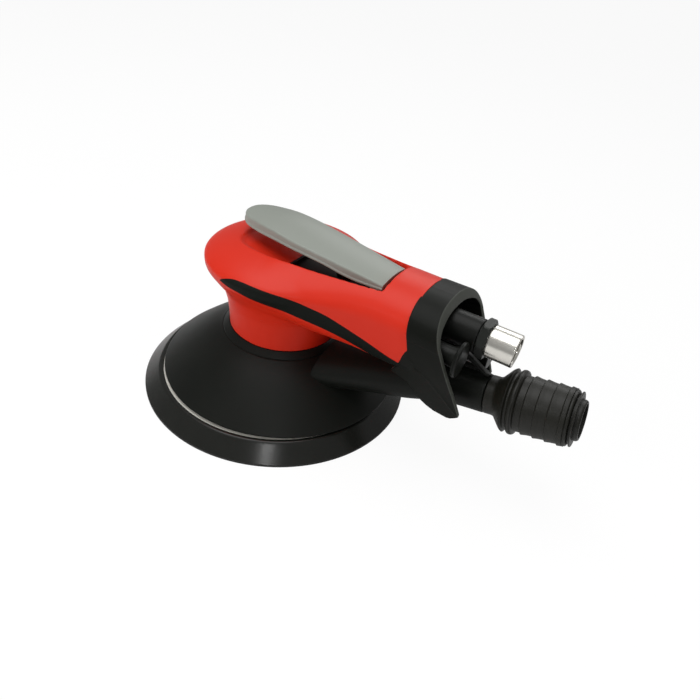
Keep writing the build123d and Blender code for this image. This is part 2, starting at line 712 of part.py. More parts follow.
motor_cylinder = ring(cylinder_radius, 0, cylinder_bottom, cylinder_top)
motor_cylinder -= ring(cylinder_bore_radius, 0, cylinder_bottom - 1, cylinder_top + 1, cylinder_bore_offset)
motor_cylinder -= ring(dowel_radius + slip_fit, 0, cylinder_bottom - 1, cylinder_top + 1, dowel_x)
for height in (0.3, 0.5, 0.7):
    port_z = cylinder_bottom + height * cylinder_height
    port = Cylinder(port_radius, 40, align=(Align.CENTER, Align.CENTER, Align.MIN))
    motor_cylinder -= Pos(0, 0, port_z) * Rot(0, 90, port_angle) * port

lower_plate = ring(cylinder_radius, shaft_radius + 0.4, lower_plate_bottom, cylinder_bottom)
lower_plate -= ring(bearing_radius, 0, lower_plate_bottom - 1, lower_bearing_bottom + bearing_width)
lower_plate -= ring(dowel_radius + slip_fit, 0, dowel_bottom, cylinder_bottom + 1, dowel_x)
upper_plate = ring(cylinder_radius, 0, cylinder_top, upper_plate_top)
upper_plate -= ring(shaft_radius - 0.4, 0, cylinder_top - 1, upper_plate_top)
upper_plate -= ring(top_bearing_radius, 0, upper_bearing_bottom, upper_plate_top + 2)
upper_plate -= ring(dowel_radius + slip_fit, 0, cylinder_top - 1, upper_plate_top + 1, dowel_x)
oring_height = (cylinder_top + upper_plate_top) / 2
groove_bottom = cylinder_radius - 1.7
upper_plate -= ring(cylinder_radius + 1, groove_bottom, oring_height - 1, oring_height + 1)
oring_centre = cylinder_radius - oring_section + 0.15
motor_oring = Pos(0, 0, oring_height) * Torus(oring_centre, oring_section)
dowel_pin = ring(dowel_radius, 0, dowel_bottom, dowel_top, dowel_x)
lock_ring_bottom = lock_ring_top - lock_ring_height
spanner_circle = (lock_ring_bore + cylinder_radius) / 2
lock_ring = ring(motor_bore_radius - slip_fit, lock_ring_bore, lock_ring_bottom, lock_ring_top)
for a in (45, 135, 225, 315):
    x = spanner_circle * cos(radians(a))
    y = spanner_circle * sin(radians(a))
    hole_top = lock_ring_bottom + spanner_hole_depth
    lock_ring -= ring(spanner_hole_radius, 0, lock_ring_bottom - 1, hole_top, x, y)

# ---------------------------------------------------------------- shroud, duct and latch
def duct_height(x):
    return duct_height_at_mouth + duct_slope * (x - duct_mouth_x)


# Stations along the duct: x, half width, half height and height of the centre.
duct_stations = [(34.0, 23.0, 12.0, 27.5), (55.0, 18.0, 11.6, 32.5), (69.0, 15.0, 11.0, 36.0)]
duct_stations += [(81.0, 13.2, 10.8, 39.0), (87.0, 12.2, 10.5, 41.0), (94.0, 10.9, 10.0, 44.2)]
tube_length = 22.0
duct_frame = Plane(origin=(duct_mouth_x, 0, duct_height_at_mouth), x_dir=(0, 1, 0), z_dir=(1, 0, duct_slope))


def on_duct(shape):
    """Places a shape drawn along Z onto the duct's axis, with its zero at the duct's mouth."""
    return duct_frame.location * shape


def duct_horn(inset, last_x, last_radius):
    """Flattened horn from inside the shroud, ending in a small round section inside the tube."""
    faces = []
    for x, half_width, half_height, z in duct_stations:
        profile = Ellipse(half_width - inset, half_height - inset)
        faces.append(Plane(origin=(x, 0, z), x_dir=(0, 1, 0), z_dir=(1, 0, 0)) * profile)
    last = Plane(origin=(last_x, 0, duct_height(last_x)), x_dir=(0, 1, 0), z_dir=(1, 0, 0))
    faces.append(last * Circle(last_radius))
    return loft(faces, ruled=True)


slope_length = hypot(shroud_edge_radius - shroud_top_radius, shroud_top_height - shroud_edge_height)
normal_r = (shroud_top_height - shroud_edge_height) / slope_length
normal_z = (shroud_edge_radius - shroud_top_radius) / slope_length


def cone_points(inset):
    """Edge, middle and top corner of the shroud's cone, bulged a little between edge and top."""
    middle_r = (shroud_edge_radius + shroud_top_radius) / 2
    middle_z = (shroud_edge_height + shroud_top_height) / 2
    bulge = shroud_bulge - inset
    edge = (shroud_edge_radius - inset / normal_z * normal_r * 2, 0, shroud_edge_height)
    middle = (middle_r + bulge * normal_r, 0, middle_z + bulge * normal_z)
    top = (shroud_top_radius - inset * normal_r, 0, shroud_top_height - inset * normal_z)
    return edge, middle, top


def cone_solid(inset):
    """Full cone under the surface drawn in by the inset."""
    edge, middle, top = cone_points(inset)
    outline = [ThreePointArc(edge, middle, top), Line(top, (0, 0, top[2]))]
    outline += [Line((0, 0, top[2]), (0, 0, edge[2])), Line((0, 0, edge[2]), edge)]
    return revolve(make_face(outline), axis=Axis.Z)


ring_seat_radius = shroud_top_radius - 2.0
collar_ring_radius = spigot_radius + slip_fit
shroud = cone_solid(0) - cone_solid(shroud_wall) - ring(ring_seat_radius, 0, 20, 60)
duct = duct_horn(0, duct_mouth_x - 10, duct_radius - 0.6) + on_duct(ring(duct_radius, 0, -tube_length, 0))
shroud += duct - cone_solid(shroud_wall)
shroud -= duct_horn(duct_wall, duct_mouth_x - 18, duct_radius - duct_wall - 0.8)
shroud -= on_duct(ring(duct_radius - duct_wall, 0, -tube_length - 1, 1))
shroud_ring = turned([
    (collar_ring_radius, shroud_top_height - 3.2),
    (ring_seat_radius - slip_fit, shroud_top_height - 3.2),
    (ring_seat_radius - slip_fit, shroud_top_height + slip_fit),
    (shroud_top_radius - 0.4, shroud_top_height + slip_fit),
    (neck_bottom_radius + 0.3, neck_bottom),
    (collar_ring_radius, neck_bottom),
])

latch_start = front_plane_x(latch_height) + web_thickness
latch_foot_x = duct_mouth_x - latch_foot_setback
latch_foot_z = duct_height(latch_foot_x) + duct_radius + 0.1
latch_top = latch_height + latch_thickness
latch_outline = [(latch_start, latch_height), (latch_bend_x, latch_height)]
latch_outline += [(latch_foot_x - latch_foot_length, latch_foot_z), (latch_foot_x, latch_foot_z + 0.3)]
latch_outline += [(latch_foot_x, latch_foot_z + 0.3 + latch_foot_thickness), (latch_bend_x + 0.8, latch_top)]
latch_outline += [(latch_start, latch_top)]
duct_latch = side_prism(latch_outline, latch_width / 2)

# ---------------------------------------------------------------- inlet, regulator and muffler
web_back = front_plane_x(inlet_height - bushing_radius) + web_thickness + slip_fit
inlet_bushing = rod(bushing_radius, web_back, bushing_end, 0, inlet_height)
inlet_bushing += rod(bushing_neck_radius, bushing_start, web_back + 1, 0, inlet_height)
inlet_bushing -= rod(tail_radius + slip_fit, tail_start - 2, bushing_end + 1, 0, inlet_height)
inlet_bushing -= rod(air_bore_radius, bushing_start - 1, tail_start, 0, inlet_height)
nut_place = Pos(nut_start, 0, inlet_height) * Rot(0, 90, 0)
hex_nut = nut_place * extrude(RegularPolygon(nut_flat / sqrt(3), 6), nut_thickness)
nut_corner = nut_flat / sqrt(3)
nut_outline = [(0, 0), (nut_corner - 0.9, 0), (nut_corner + 0.1, 0.7)]
nut_outline += [(nut_corner + 0.1, nut_thickness - 0.7), (nut_corner - 0.9, nut_thickness), (0, nut_thickness)]
hex_nut = hex_nut & nut_place * turned(nut_outline)
hex_nut += rod(bushing_radius - 0.7, bushing_end, nut_start + 0.5, 0, inlet_height)
hex_nut -= rod(tail_radius + slip_fit, nut_start - 5, nut_end + 5, 0, inlet_height)
inlet_nipple = rod(nipple_radius, nipple_start, nipple_end, 0, inlet_height)
inlet_nipple += rod(nipple_radius - 0.9, nut_end, nipple_start + 0.5, 0, inlet_height)
inlet_nipple += rod(tail_radius, tail_start, nut_end + 0.5, 0, inlet_height)
inlet_nipple -= rod(nipple_bore_radius, nipple_end - nipple_bore_depth, nipple_end + 1, 0, inlet_height)
inlet_nipple -= rod(air_bore_radius, tail_start - 1, nipple_end, 0, inlet_height)

stem_start = front_plane_x(regulator_z) + web_thickness + 1.2
disc_start = regulator_disc_end - regulator_disc_thickness
regulator_place = Pos(disc_start, regulator_y, regulator_z) * Rot(0, 90, 0)
disc_flat = regulator_disc_radius - 0.8
disc_outline = [(0, 0), (disc_flat, 0), (regulator_disc_radius, 0.8)]
disc_outline += [(regulator_disc_radius, regulator_disc_thickness - 0.8), (disc_flat, regulator_disc_thickness)]
disc_outline.append((0, regulator_disc_thickness))
regulator_knob = regulator_place * turned(disc_outline)
regulator_knob += rod(regulator_stem_radius, stem_start + 1.6, disc_start + 0.5, regulator_y, regulator_z)
regulator_knob += rod(regulator_stem_radius - 1.0, stem_start, stem_start + 2, regulator_y, regulator_z)
spool_start = stem_start - spool_length
regulator_spool = rod(spool_radius, spool_start, stem_start, regulator_y, regulator_z)
regulator_spool -= ring(1.5, 0, regulator_z - 10, regulator_z + 10, spool_start + 6, regulator_y)
regulator_spool -= rod(1.9, spool_start - 1, spool_start + 6, regulator_y, regulator_z)

clip_x = stem_start + 0.8
clip_reach = regulator_stem_radius - 1.0 + clip_wire + seat_gap
clip_path = Polyline(
    (clip_x, regulator_y - clip_reach, regulator_z + 6.5),
    (clip_x, regulator_y - clip_reach, regulator_z - 5.0),
)
clip_leg = Plane(origin=clip_path @ 0, z_dir=clip_path % 0) * Circle(clip_wire)
near_leg = sweep(clip_leg, path=clip_path)
clip_bar = Pos(clip_x, regulator_y, regulator_z + 6.5) * Rot(90, 0, 0) * Cylinder(clip_wire, 2 * clip_reach)
regulator_clip = near_leg + Pos(0, 2 * clip_reach, 0) * near_leg + clip_bar

muffler_start = front_plane_x(muffler_z - muffler_radius) + web_thickness + slip_fit
can_bore = muffler_radius - muffler_wall
neck_start = collar_front - 4
neck_bore = muffler_neck_radius - muffler_wall
muffler_shell = rod(muffler_radius, muffler_start, muffler_end, muffler_y, muffler_z)
muffler_shell += rod(muffler_neck_radius, neck_start, muffler_start + 1, muffler_y, muffler_z)
muffler_shell -= rod(can_bore, muffler_start + 2, muffler_end - 1.5, muffler_y, muffler_z)
muffler_shell -= rod(neck_bore, neck_start - 1, muffler_start + 3, muffler_y, muffler_z)
muffler_felt = rod(can_bore - slip_fit, muffler_start + 2.2, muffler_end - 1.7, muffler_y, muffler_z)
for a in range(0, 360, 60):
    y = muffler_y + 3.2 * cos(radians(a))
    z = muffler_z + 3.2 * sin(radians(a))
    muffler_shell -= rod(0.7, muffler_end - 3, muffler_end + 1, y, z)

# ---------------------------------------------------------------- hose adapter
bead_half = 1.7
barrel_start = adapter_bead_centre + bead_half + 0.4
first_tooth = barrel_start + 2.6
barrel_end = first_tooth + tooth_count * tooth_pitch - 1.2
sleeve_bore = sleeve_radius - sleeve_wall
bead_foot = adapter_barrel_radius + 0.6
adapter_outline = [(duct_radius, adapter_gap), (duct_radius, adapter_cone_start)]
adapter_outline += [(adapter_edge_radius - 0.6, adapter_cone_end - 0.9), (adapter_edge_radius, adapter_cone_end)]
adapter_outline += [(adapter_edge_radius - 0.5, adapter_cone_end + 0.8), (bead_foot, adapter_cone_end + 1.0)]
adapter_outline += [(bead_foot, adapter_bead_centre - bead_half)]
adapter_outline += [(adapter_bead_radius - 0.5, adapter_bead_centre - 1.1)]
adapter_outline += [(adapter_bead_radius, adapter_bead_centre)]
adapter_outline += [(adapter_bead_radius - 0.5, adapter_bead_centre + 1.1)]
adapter_outline += [(adapter_barrel_radius, adapter_bead_centre + bead_half)]
for i in range(tooth_count):
    z = first_tooth + i * tooth_pitch
    adapter_outline += [(adapter_barrel_radius, z), (adapter_barrel_radius + tooth_height, z + 0.4)]
groove_radius = adapter_barrel_radius - 2.2
flange_radius = adapter_barrel_radius - 0.2
adapter_end = barrel_end + 1.6
adapter_outline += [(adapter_barrel_radius, barrel_end - 0.8), (adapter_barrel_radius - 0.8, barrel_end)]
adapter_outline += [(groove_radius, barrel_end), (groove_radius, barrel_end + 0.9)]
adapter_outline += [(flange_radius, barrel_end + 0.9), (flange_radius, adapter_end)]
adapter_outline += [(sleeve_radius + slip_fit, adapter_end), (sleeve_radius + slip_fit, adapter_cone_end)]
adapter_outline += [(adapter_bore_radius, adapter_cone_end - 3), (adapter_bore_radius, -adapter_spigot_length)]
adapter_outline += [(adapter_spigot_radius, -adapter_spigot_length), (adapter_spigot_radius, adapter_gap)]
hose_adapter = on_duct(turned(adapter_outline))
seal_place = -adapter_spigot_length * 0.55
seal_floor = duct_bore - 2 * seal_section - 0.1
hose_adapter -= on_duct(ring(adapter_spigot_radius + 1, seal_floor, seal_place - 0.7, seal_place + 0.7))
duct_seal = on_duct(Pos(0, 0, seal_place) * Torus(duct_bore - running_fit - seal_section, seal_section))
sleeve_end = adapter_end + sleeve_reach
adapter_sleeve = on_duct(turned([
    (sleeve_bore, adapter_cone_end),
    (sleeve_radius, adapter_cone_end),
    (sleeve_radius, sleeve_end - 0.9),
    (sleeve_radius - 0.7, sleeve_end),
    (sleeve_bore, sleeve_end),
]))

# ---------------------------------------------------------------- one STEP file per node
nodes = {
    "housing": housing,
    "grip_strips": grip_strips,
    "end_collar": end_collar,
    "well_liner": well_liner,
    "lever": lever,
    "lever_pin": lever_pin,
    "throttle_plunger": plunger,
    "plunger_bushing": plunger_bushing,
    "valve_seat": valve_seat,
    "valve_tip": valve_tip,
    "throttle_spring": throttle_spring,
    "valve_plug": valve_plug,
    "pad_hook_face": pad_hook_face,
    "pad_foam": pad_foam,
    "pad_plate": pad_plate,
    "pad_stud": pad_stud,
    "spindle": spindle,
    "spindle_washer": spindle_washer,
    "spindle_screw": spindle_screw,
    "spindle_bearings": spindle_bearings,
    "cup_snap_ring": cup_snap_ring,
    "shaft_balancer": balancer,
    "rotor_key": rotor_key,
    "rotor": rotor,
    "vanes": vanes,
    "motor_cylinder": motor_cylinder,
    "lower_plate": lower_plate,
    "upper_plate": upper_plate,
    "lower_motor_bearing": lower_motor_bearing,
    "upper_motor_bearing": upper_motor_bearing,
    "shaft_snap_ring": shaft_snap_ring,
    "motor_oring": motor_oring,
    "dowel_pin": dowel_pin,
    "lock_ring": lock_ring,
    "shroud": shroud,
    "shroud_ring": shroud_ring,
    "duct_latch": duct_latch,
    "inlet_bushing": inlet_bushing,
    "hex_nut": hex_nut,
    "inlet_nipple": inlet_nipple,
    "regulator_knob": regulator_knob,
    "regulator_spool": regulator_spool,
    "regulator_clip": regulator_clip,
    "muffler_shell": muffler_shell,
    "muffler_felt": muffler_felt,
    "hose_adapter": hose_adapter,
    "duct_seal": duct_seal,
    "adapter_sleeve": adapter_sleeve,
}

os.makedirs("parts", exist_ok=True)
for name, shape in nodes.items():
    if isinstance(shape, list):
        shape = Compound(children=[piece.solids()[0] for piece in shape])
    else:
        shape = solids(shape)
    export_step(shape, f"parts/{name}.step")
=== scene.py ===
import json
import math

import bmesh
import bpy
import numpy as np
from mathutils import Matrix


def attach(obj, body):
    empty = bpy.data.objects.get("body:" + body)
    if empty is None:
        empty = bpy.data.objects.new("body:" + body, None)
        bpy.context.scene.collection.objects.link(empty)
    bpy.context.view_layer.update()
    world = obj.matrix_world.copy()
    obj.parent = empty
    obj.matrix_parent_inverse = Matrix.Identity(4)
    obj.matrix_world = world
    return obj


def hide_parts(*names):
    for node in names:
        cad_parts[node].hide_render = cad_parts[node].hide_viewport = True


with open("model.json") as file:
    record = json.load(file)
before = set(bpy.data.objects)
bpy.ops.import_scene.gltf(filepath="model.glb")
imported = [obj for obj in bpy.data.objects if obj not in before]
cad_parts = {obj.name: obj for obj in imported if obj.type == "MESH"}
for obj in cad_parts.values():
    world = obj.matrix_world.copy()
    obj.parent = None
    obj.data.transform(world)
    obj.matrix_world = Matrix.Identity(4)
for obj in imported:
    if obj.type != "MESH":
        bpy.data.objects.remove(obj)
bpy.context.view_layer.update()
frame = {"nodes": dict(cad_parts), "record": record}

# ---------------------------------------------------------------------------------------------
# The stand: a pale floor under a broad soft lamp, with weaker ones at the front left and the rear
# that light matt surfaces only. Two more show only in gloss: a low strip that lies as a streak on
# the pad's bevel, and a wide panel behind the tool.
camera = bpy.data.objects.new("camera", bpy.data.cameras.new("camera"))
camera.data.lens = 30.857
camera.data.sensor_width = 36.0
camera.data.clip_start = 0.01
# The columns are the camera's right, its up, its back and its place in metres.
camera.matrix_world = Matrix((
    (0.84088, -0.39711, 0.36776, 0.16036),
    (0.52809, 0.45320, -0.71816, -0.22861),
    (0.11852, 0.79809, 0.59079, 0.22544),
    (0.0, 0.0, 0.0, 1.0),
))
bpy.context.scene.collection.objects.link(camera)
bpy.context.scene.camera = camera
bpy.context.scene.view_settings.view_transform = "Standard"


def lamp(name, place, target, width, height, watts, lights="both"):
    """A rectangular area lamp at one place, turned to face another, all in metres. It may light
    matt surfaces only, or show only as a reflection."""
    light = bpy.data.lights.new(name, "AREA")
    light.shape = "RECTANGLE"
    light.size = width
    light.size_y = height
    light.energy = watts
    back = np.array(place) - np.array(target)
    back = back / np.linalg.norm(back)
    side = np.cross((0.0, 0.0, 1.0), back)
    side = side / np.linalg.norm(side)
    turn = np.eye(4)
    turn[:3] = np.column_stack([side, np.cross(back, side), back, place])
    holder = bpy.data.objects.new(name, light)
    holder.matrix_world = Matrix(turn.tolist())
    holder.visible_glossy = lights != "matt"
    holder.visible_diffuse = lights != "gloss"
    bpy.context.scene.collection.objects.link(holder)


lamp("overhead_lamp", (-0.12, -0.05, 0.95), (0.03, 0.0, 0.05), 0.8, 0.7, 4.8)
lamp("front_lamp", (-0.35, -0.85, 0.45), (0.02, 0.0, 0.05), 0.5, 0.5, 3.0, "matt")
lamp("rear_lamp", (0.75, 0.15, 0.5), (0.08, 0.0, 0.06), 0.4, 0.5, 1.0, "matt")
lamp("streak_lamp", (0.191, -0.328, 0.331), (0.037, -0.06, 0.006), 0.02, 0.1, 0.16, "gloss")
lamp("back_lamp", (0.05, 1.1, 0.75), (0.05, 0.0, 0.07), 1.2, 0.5, 4.8, "gloss")


def linear(code):
    """An sRGB hex colour as linear red, green, blue and full alpha."""
    parts = [int(code[i:i + 2], 16) / 255 for i in (1, 3, 5)]
    return tuple(c / 12.92 if c <= 0.04045 else ((c + 0.055) / 1.055) ** 2.4 for c in parts) + (1.0,)


def add(owner, kind, sockets=None, **settings):
    """Adds a node to a material or world; each socket gets a value, or a link where an output is
    given."""
    node = owner.node_tree.nodes.new(kind)
    for name, value in settings.items():
        setattr(node, name, value)
    for socket, value in (sockets or {}).items():
        if isinstance(value, bpy.types.NodeSocket):
            owner.node_tree.links.new(value, node.inputs[socket])
        else:
            node.inputs[socket].default_value = value
    return node


def emptied(owner):
    """Empties the node tree of a new material or world."""
    owner.use_nodes = True
    owner.node_tree.nodes.clear()
    return owner


# The world lights the tool weakly, and is white where it is seen directly or through something.
white = linear("#FFFFFF")
world = emptied(bpy.data.worlds.new("studio"))
bpy.context.scene.world = world
rays = add(world, "ShaderNodeLightPath")
seen = add(world, "ShaderNodeMath", {
    0: rays.outputs["Is Camera Ray"], 1: rays.outputs["Is Transmission Ray"]}, operation="MAXIMUM")
room = add(world, "ShaderNodeBackground", {"Color": white, "Strength": 0.3})
paper = add(world, "ShaderNodeBackground", {"Color": white, "Strength": 1.0})
both = add(world, "ShaderNodeMixShader", {0: seen.outputs[0], 1: room.outputs[0], 2: paper.outputs[0]})
add(world, "ShaderNodeOutputWorld", {"Surface": both.outputs[0]})

# Matt white paper. Seen directly it is mostly its own even white, and the rest of it is lit, which
# keeps the tool's soft shadow.
own_white = 0.88
floor_paper = emptied(bpy.data.materials.new("matt_white_paper"))
rays = add(floor_paper, "ShaderNodeLightPath")
fade = add(floor_paper, "ShaderNodeMath", {
    0: rays.outputs["Is Camera Ray"], 1: own_white}, operation="MULTIPLY")
sheet = add(floor_paper, "ShaderNodeBsdfDiffuse", {"Color": linear("#EDEDED")})
glow = add(floor_paper, "ShaderNodeEmission", {"Color": white, "Strength": 1.04})
both = add(floor_paper, "ShaderNodeMixShader", {0: fade.outputs[0], 1: sheet.outputs[0], 2: glow.outputs[0]})
add(floor_paper, "ShaderNodeOutputMaterial", {"Surface": both.outputs[0]})
floor_mesh = bpy.data.meshes.new("floor")
floor_mesh.from_pydata([(-20, -20, 0), (20, -20, 0), (20, 20, 0), (-20, 20, 0)], [], [(0, 1, 2, 3)])
floor_mesh.materials.append(floor_paper)
floor = bpy.data.objects.new("floor", floor_mesh)
bpy.context.scene.collection.objects.link(floor)


# ---------------------------------------------------------------------------------------------
# The pad: a dark hook face bonded to cast polyurethane foam with a glossy black skin, which rises
# to a lip round the pale moulded backing plate. A steel stud is moulded into its middle.
def moulded(name, colour, tint, roughness, grain, depth, metallic=0.0, cloud=25.0, shine=0.5):
    """Plastic, rubber or paint: colour and gloss drift in soft clouds between two close values, and
    a fine grain lies in the height of the surface. Grain, depth and cloud are in millimetres; a
    grain finer than about half a millimetre is drawn at that size, so that it shows."""
    material = emptied(bpy.data.materials.new(name))
    place = add(material, "ShaderNodeTexCoord").outputs["Object"]
    drift = add(material, "ShaderNodeTexNoise", {"Vector": place, "Scale": 1000 / cloud, "Detail": 3.0})
    speck = add(material, "ShaderNodeTexNoise", {"Vector": place, "Scale": 1000 / grain, "Detail": 2.0})
    # A colour Mix takes its factor at socket 0 and its colours at 6 and 7; a Map Range takes the
    # ends of its result at 3 and 4.
    tone = add(material, "ShaderNodeMix", {
        0: drift.outputs[0], 6: linear(colour), 7: linear(tint)}, data_type="RGBA")
    gloss = add(material, "ShaderNodeMapRange", {
        0: drift.outputs[0], 3: roughness - 0.05, 4: roughness + 0.06})
    relief = add(material, "ShaderNodeBump", {
        "Height": speck.outputs[0], "Strength": 0.6, "Distance": depth / 1000})
    shader = add(material, "ShaderNodeBsdfPrincipled", {
        "Base Color": tone.outputs[2], "Roughness": gloss.outputs[0], "Normal": relief.outputs[0],
        "Metallic": metallic, "Specular IOR Level": shine})
    add(material, "ShaderNodeOutputMaterial", {"Surface": shader.outputs[0]})
    return material


def quads(rows, columns, ring_rows=False, ring_columns=True):
    """Faces of a grid of points; each direction may close on itself."""
    i = np.arange(rows if ring_rows else rows - 1)[:, None]
    j = np.arange(columns if ring_columns else columns - 1)[None, :]
    below, beside = (i + 1) % rows, (j + 1) % columns
    corners = (i * columns + j, i * columns + beside, below * columns + beside, below * columns + j)
    return np.stack(np.broadcast_arrays(*corners), -1).reshape(-1, 4)


def rounded(corners, steps=6):
    """A line through (a, b, reach) corners, each eased by a parabola that starts and ends at its
    reach from the corner, with one more point just outside it that keeps the flats flat."""
    line = []
    t = np.linspace(0, 1, steps)[:, None]
    for before, here, after in zip(corners[:-2], corners[1:-1], corners[2:]):
        corner, ease = np.array(here[:2]), here[2]
        back, on = np.array(before[:2]) - corner, np.array(after[:2]) - corner
        back, on = back / np.linalg.norm(back), on / np.linalg.norm(on)
        curve = corner + ease * ((1 - t) ** 2 * back + t ** 2 * on)
        line.append(np.vstack([corner + 1.3 * ease * back, curve, corner + 1.3 * ease * on]))
    return np.vstack([corners[0][:2]] + line + [corners[-1][:2]])


def turned(line, count, ring=False):
    """Surface of revolution about Z: each profile point (radius, height) goes round a circle. With
    a ring, the profile closes on itself, which leaves a hole along the axis."""
    angle = np.linspace(0, 2 * np.pi, count, endpoint=False)
    radius, height = line[:, :1], line[:, 1:]
    points = np.stack(np.broadcast_arrays(radius * np.cos(angle), radius * np.sin(angle), height), -1)
    return points.reshape(-1, 3), quads(len(line), count, ring_rows=ring)


def moved(shape, shift):
    """The same shape, with a shift added to its points."""
    return shape[0] + shift, shape[1]


def face_lists(faces):
    """Faces as plain lists, whichever way they come."""
    return faces.tolist() if isinstance(faces, np.ndarray) else faces


def piece(name, shape, material, body, nodes, sharp=38.0):
    """Puts points in millimetres and their faces into an outward-facing piece that stands for its
    CAD nodes and moves with their body. Edges sharper than an angle in degrees stay sharp."""
    points, faces = shape
    mesh = bpy.data.meshes.new(name)
    mesh.from_pydata((points / 1000).tolist(), [], face_lists(faces))
    work = bmesh.new()
    work.from_mesh(mesh)
    bmesh.ops.remove_doubles(work, verts=work.verts, dist=2e-6)
    bmesh.ops.dissolve_degenerate(work, edges=work.edges, dist=1e-7)
    bmesh.ops.recalc_face_normals(work, faces=work.faces)
    work.to_mesh(mesh)
    work.free()
    mesh.shade_smooth()
    mesh.set_sharp_from_angle(angle=math.radians(sharp))
    mesh.materials.append(material)
    made = bpy.data.objects.new(name, mesh)
    bpy.context.scene.collection.objects.link(made)
    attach(made, body)
    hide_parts(*nodes)


# The fine hooks give a dull, coarse, near-black grey; the foam's cast skin is black and glossy
# enough for a clear streak of light; the filled nylon is a half-matt ivory.
hook_nylon = moulded("hook_nylon", "#1B1C1B", "#252625", 0.85, 1.2, 0.35)
pad_skin = moulded("polyurethane_skin", "#141512", "#1C1D19", 0.24, 0.8, 0.02, cloud=14.0, shine=0.4)
plate_nylon = moulded("glass_filled_nylon", "#F0EDE4", "#E2DED4", 0.5, 0.6, 0.03)

orbit_radius, orbit_angle = 2.5, math.radians(248)
orbit = orbit_radius * np.array((math.cos(orbit_angle), math.sin(orbit_angle), 0.0))
hook_top, seat, lip_radius, lip_top = 0.8, 5.6, 64.0, 9.0
foam_line = rounded([
    (0, hook_top, 0), (74.2, hook_top, 0.1), (74.2, 1.15, 0.12), (73.7, 1.62, 0.3), (66.5, 8.5, 0.5),
    (65.7, lip_top, 0.3), (lip_radius, lip_top, 0.2), (lip_radius, seat, 0.2), (0, seat, 0)])
piece("pad_cushion", moved(turned(foam_line, 240), orbit), pad_skin, "pad", ["pad_foam"])
plate_foot, plate_radius = seat + 0.02, lip_radius - 0.05
plate_line = rounded([
    (0, plate_foot, 0), (plate_radius, plate_foot, 0.1), (plate_radius, 8.6, 0.3), (24, 8.6, 1.0),
    (22, 9.4, 0.6), (16.6, 9.4, 0.5), (16, 10.5, 0.3), (5, 10.5, 0.2), (4.2, 9.5, 0.2), (0, 9.5, 0)])
piece("pad_backing", moved(turned(plate_line, 240), orbit), plate_nylon, "pad", ["pad_plate"])


# ---------------------------------------------------------------------------------------------
# The shroud: a moulded black skirt with a slightly bulged cone that hides the balancer and leads
# the dust into a flattened duct. The duct turns round at its end, where the hose adapter swivels.
def smooth_line(knots, count):
    """A curve through all the knots: cubic pieces whose slope at a knot is that of its neighbours'
    chord, evaluated at even steps of the knots' index."""
    knots = np.asarray(knots, float)
    padded = np.vstack([2 * knots[0] - knots[1], knots, 2 * knots[-1] - knots[-2]])
    place = np.linspace(0, len(knots) - 1, count)
    index = np.minimum(place.astype(int), len(knots) - 2)
    t = (place - index)[:, None]
    a, b, c, d = (padded[index + k] for k in range(4))
    return b + 0.5 * t * (c - a + t * (2 * a - 5 * b + 4 * c - d + t * (3 * (b - c) + d - a)))


def ramp(x, start, span):
    """Zero up to a start, then straight up to one over a span, and one from there on."""
    return np.clip((x - start) / span, 0, 1)


def joined(*shapes):
    """Several shapes as one list of points and one of faces."""
    points, faces, start = [], [], 0
    for shape_points, shape_faces in shapes:
        points.append(shape_points)
        faces += [[start + k for k in face] for face in face_lists(shape_faces)]
        start += len(shape_points)
    return np.vstack(points), faces


# The cone's outer line runs from its top down to the rim, turns round the rim, and goes back up a
# wall's thickness inside.
wall_step = np.array([1.2, 1.9])
cone = smooth_line([(33.9, 34.0), (42.2, 28.8), (50.4, 22.9), (58.3, 16.7), (65.3, 10.9)], 40)
cone_line = np.vstack([
    rounded([(31.0, 32.5, 0), (31.9, 34.0, 0.3), (33.6, 34.2, 0.4), (34.6, 33.6, 0)], 4), cone[1:],
    rounded([(65.45, 10.75, 0), (65.7, 10.2, 0.3), (63.4, 10.2, 0.3), (62.6, 10.7, 0)], 4),
    cone[:0:-1] - wall_step])

duct_slope = 0.185
mouth = np.array((119.4, 0.0, 49.45))
# Each is (place along X, half width, half height, level of the middle).
duct_knots = [
    (34, 23, 12, 27.5), (46, 20.2, 11.8, 30.2), (57, 17.6, 11.5, 33.1), (69, 15, 11, 36),
    (81, 13.2, 10.8, 39.3), (90, 11.7, 10.3, 42.5), (98, 10.3, 9.75, 45.4), (106, 9.4, 9.4, 47.0),
    (112, 9.3, 9.3, 48.1), (118.6, 9.3, 9.3, 49.3)]


def duct_skin():
    """Ellipses across the duct at stations along it, from an open one inside the cone. Each leans
    as the duct's end does, the more the nearer it comes to the mouth, and the last ones close over
    a rounded edge."""
    line = smooth_line(duct_knots, 90)
    tail = line[-1:] + np.array([[0.5, -0.1, -0.1, 0.09], [0.75, -0.4, -0.4, 0.14], [0.75, -9.3, -9.3, 0.14]])
    x, half_width, half_height, centre = np.vstack([line, tail]).T[:, :, None]
    angle = np.linspace(0, 2 * np.pi, 96, endpoint=False)
    up = half_height * np.sin(angle)
    lean = duct_slope * ramp(x, 81, 25)
    points = np.stack(np.broadcast_arrays(x - lean * up, half_width * np.cos(angle), centre + up), -1)
    return points.reshape(-1, 3), quads(points.shape[0], 96)


# Moulded polyamide: black, with a soft sheen on the slopes that face up.
shroud_plastic = moulded("moulded_polyamide", "#101210", "#181A16", 0.42, 0.7, 0.02, shine=0.16)
piece("dust_shroud", joined(turned(cone_line, 240, ring=True), duct_skin()), shroud_plastic,
      "tool_body", ["shroud"])

